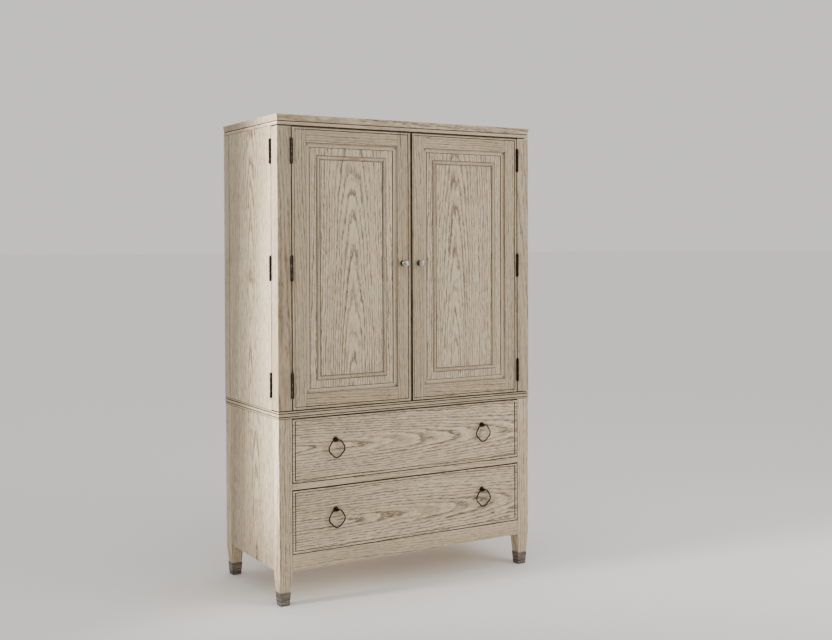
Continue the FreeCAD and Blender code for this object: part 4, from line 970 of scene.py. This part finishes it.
# %% Turn, dent and place the knobs
STEM_PROFILE = [(-FIELD_RECESS, 9.0), (0.4, 9.0), (1.1, 8.6), (1.6, 7.4), (2.3, 6.0), (3.4, 5.2), (5.5, 4.8),
                (9.0, 4.8), (13.0, 5.2), (16.0, 6.4), (17.6, 8.4), (18.4, 8.4)]
KNOB_PROFILE = [(17.8, 6.0), (17.9, 8.8), (18.2, 11.0), (18.9, 12.8), (20.0, 14.1), (21.4, 14.8), (23.0, 15.0),
                (24.6, 14.7), (26.0, 13.8), (27.2, 12.3), (28.1, 10.4), (28.8, 8.0), (29.2, 5.6), (29.4, 2.8),
                (29.5, 0.6)]
HEAD_START, DENT_SIZE, DENT_DEPTH, STRIKE_EDGE = 18.5, 5.0, 0.9, 0.3 * MM

stem = turned("stem", STEM_PROFILE, sides=40)
knob = turned("knob", KNOB_PROFILE, sides=48)
use_modifier(knob, "SUBSURF", levels=1, render_levels=1)
head = knob.vertex_groups.new(name="head")
head.add([vertex.index for vertex in knob.data.vertices if vertex.co.z > HEAD_START * MM], 1.0, "REPLACE")
marks = bpy.data.textures.new("hammer_marks", "VORONOI")
marks.noise_scale = DENT_SIZE * MM
use_modifier(knob, "DISPLACE", texture=marks, strength=DENT_DEPTH * MM, mid_level=1.0, vertex_group="head",
             texture_coords="LOCAL")
for side in ("left", "right"):
    fittings = loose_parts(merged_copy(f"{side}_door_fittings"))
    fittings.sort(key=lambda part: part.bound_box[0][1])
    plain_knob, strike = fittings
    soften(strike, STRIKE_EDGE)
    corners = [Vector(corner) for corner in plain_knob.bound_box]
    middle = sum(corners, Vector()) / len(corners) / MM
    foot = max(corner.y for corner in corners) / MM - FIELD_RECESS
    bpy.data.objects.remove(plain_knob)
    for source, part, finish in ((knob, "hammered_knob", knob_pewter), (stem, "knob_stem", shaded_stem_pewter)):
        made = placed(source, at(middle.x, foot, middle.z) @ FACING_FRONT)
        dress(made, f"{side}_{part}", finish, f"{side}_door", "pewter", f"{side}_door_fittings")
    dress(strike, f"{side}_strike_plate", slide_steel, f"{side}_door", "pewter", f"{side}_door_fittings")
for blank in (knob, stem):
    bpy.data.objects.remove(blank)
print("knobs", round(middle.x), round(foot, 1), round(middle.z))

# %% [markdown]
# ## Ferrules, slides and catches
#
# The ferrules have their true taper in the CAD, so they only get rounder edges, and most of all round the foot,
# where they slide on the floor. The slides and catches are right as they are: they keep their CAD meshes and get
# steel and moulded plastic.

# %% Ease the ferrules and dress what stays from the CAD
FERRULE_EDGE, FERRULE_FOOT = 0.8 * MM, 2.2 * MM
PLASTIC_GRAIN = (1400.0, 1400.0, 1400.0)
shoes = loose_parts(merged_copy("ferrules"))
for shoe in shoes:
    lowest = min(vertex.co.z for vertex in shoe.data.vertices)
    open_mesh(shoe)
    pick_edges(shoe, lambda one, other: max(one.z, other.z) < lowest + MM)
    bpy.ops.mesh.bevel(offset=FERRULE_FOOT, segments=4, affect="EDGES")
    bpy.ops.object.mode_set(mode="OBJECT")
    soften(shoe, FERRULE_EDGE)
dress(joined(*shoes), "foot_ferrules", pewter, "case", "pewter", "ferrules")

catch_plastic, tree, shader = new_material("brown_moulding")
grain = noise(tree, add_node(tree, "TexCoord").outputs["Object"], PLASTIC_GRAIN, detail=2.0)
feed(tree, shader.inputs["Base Color"], blend(tree, grain, colour(52, 40, 32), colour(66, 52, 42)))
feed(tree, shader.inputs["Roughness"], ramp(tree, grain, 0.3, 0.7, 0.5, 0.62))
feed(tree, shader.inputs["Normal"],
     add_node(tree, "Bump", distance=0.0001, strength=0.3, height=grain).outputs[0])
KEPT = {"slide_steel": slide_steel, "catch_plastic": catch_plastic}
kept_nodes = [name for name, slot in SLOTS.items() if slot in KEPT]
for name in kept_nodes:
    nodes[name].material_slots[0].material = KEPT[SLOTS[name]]
print("kept from the CAD:", kept_nodes)
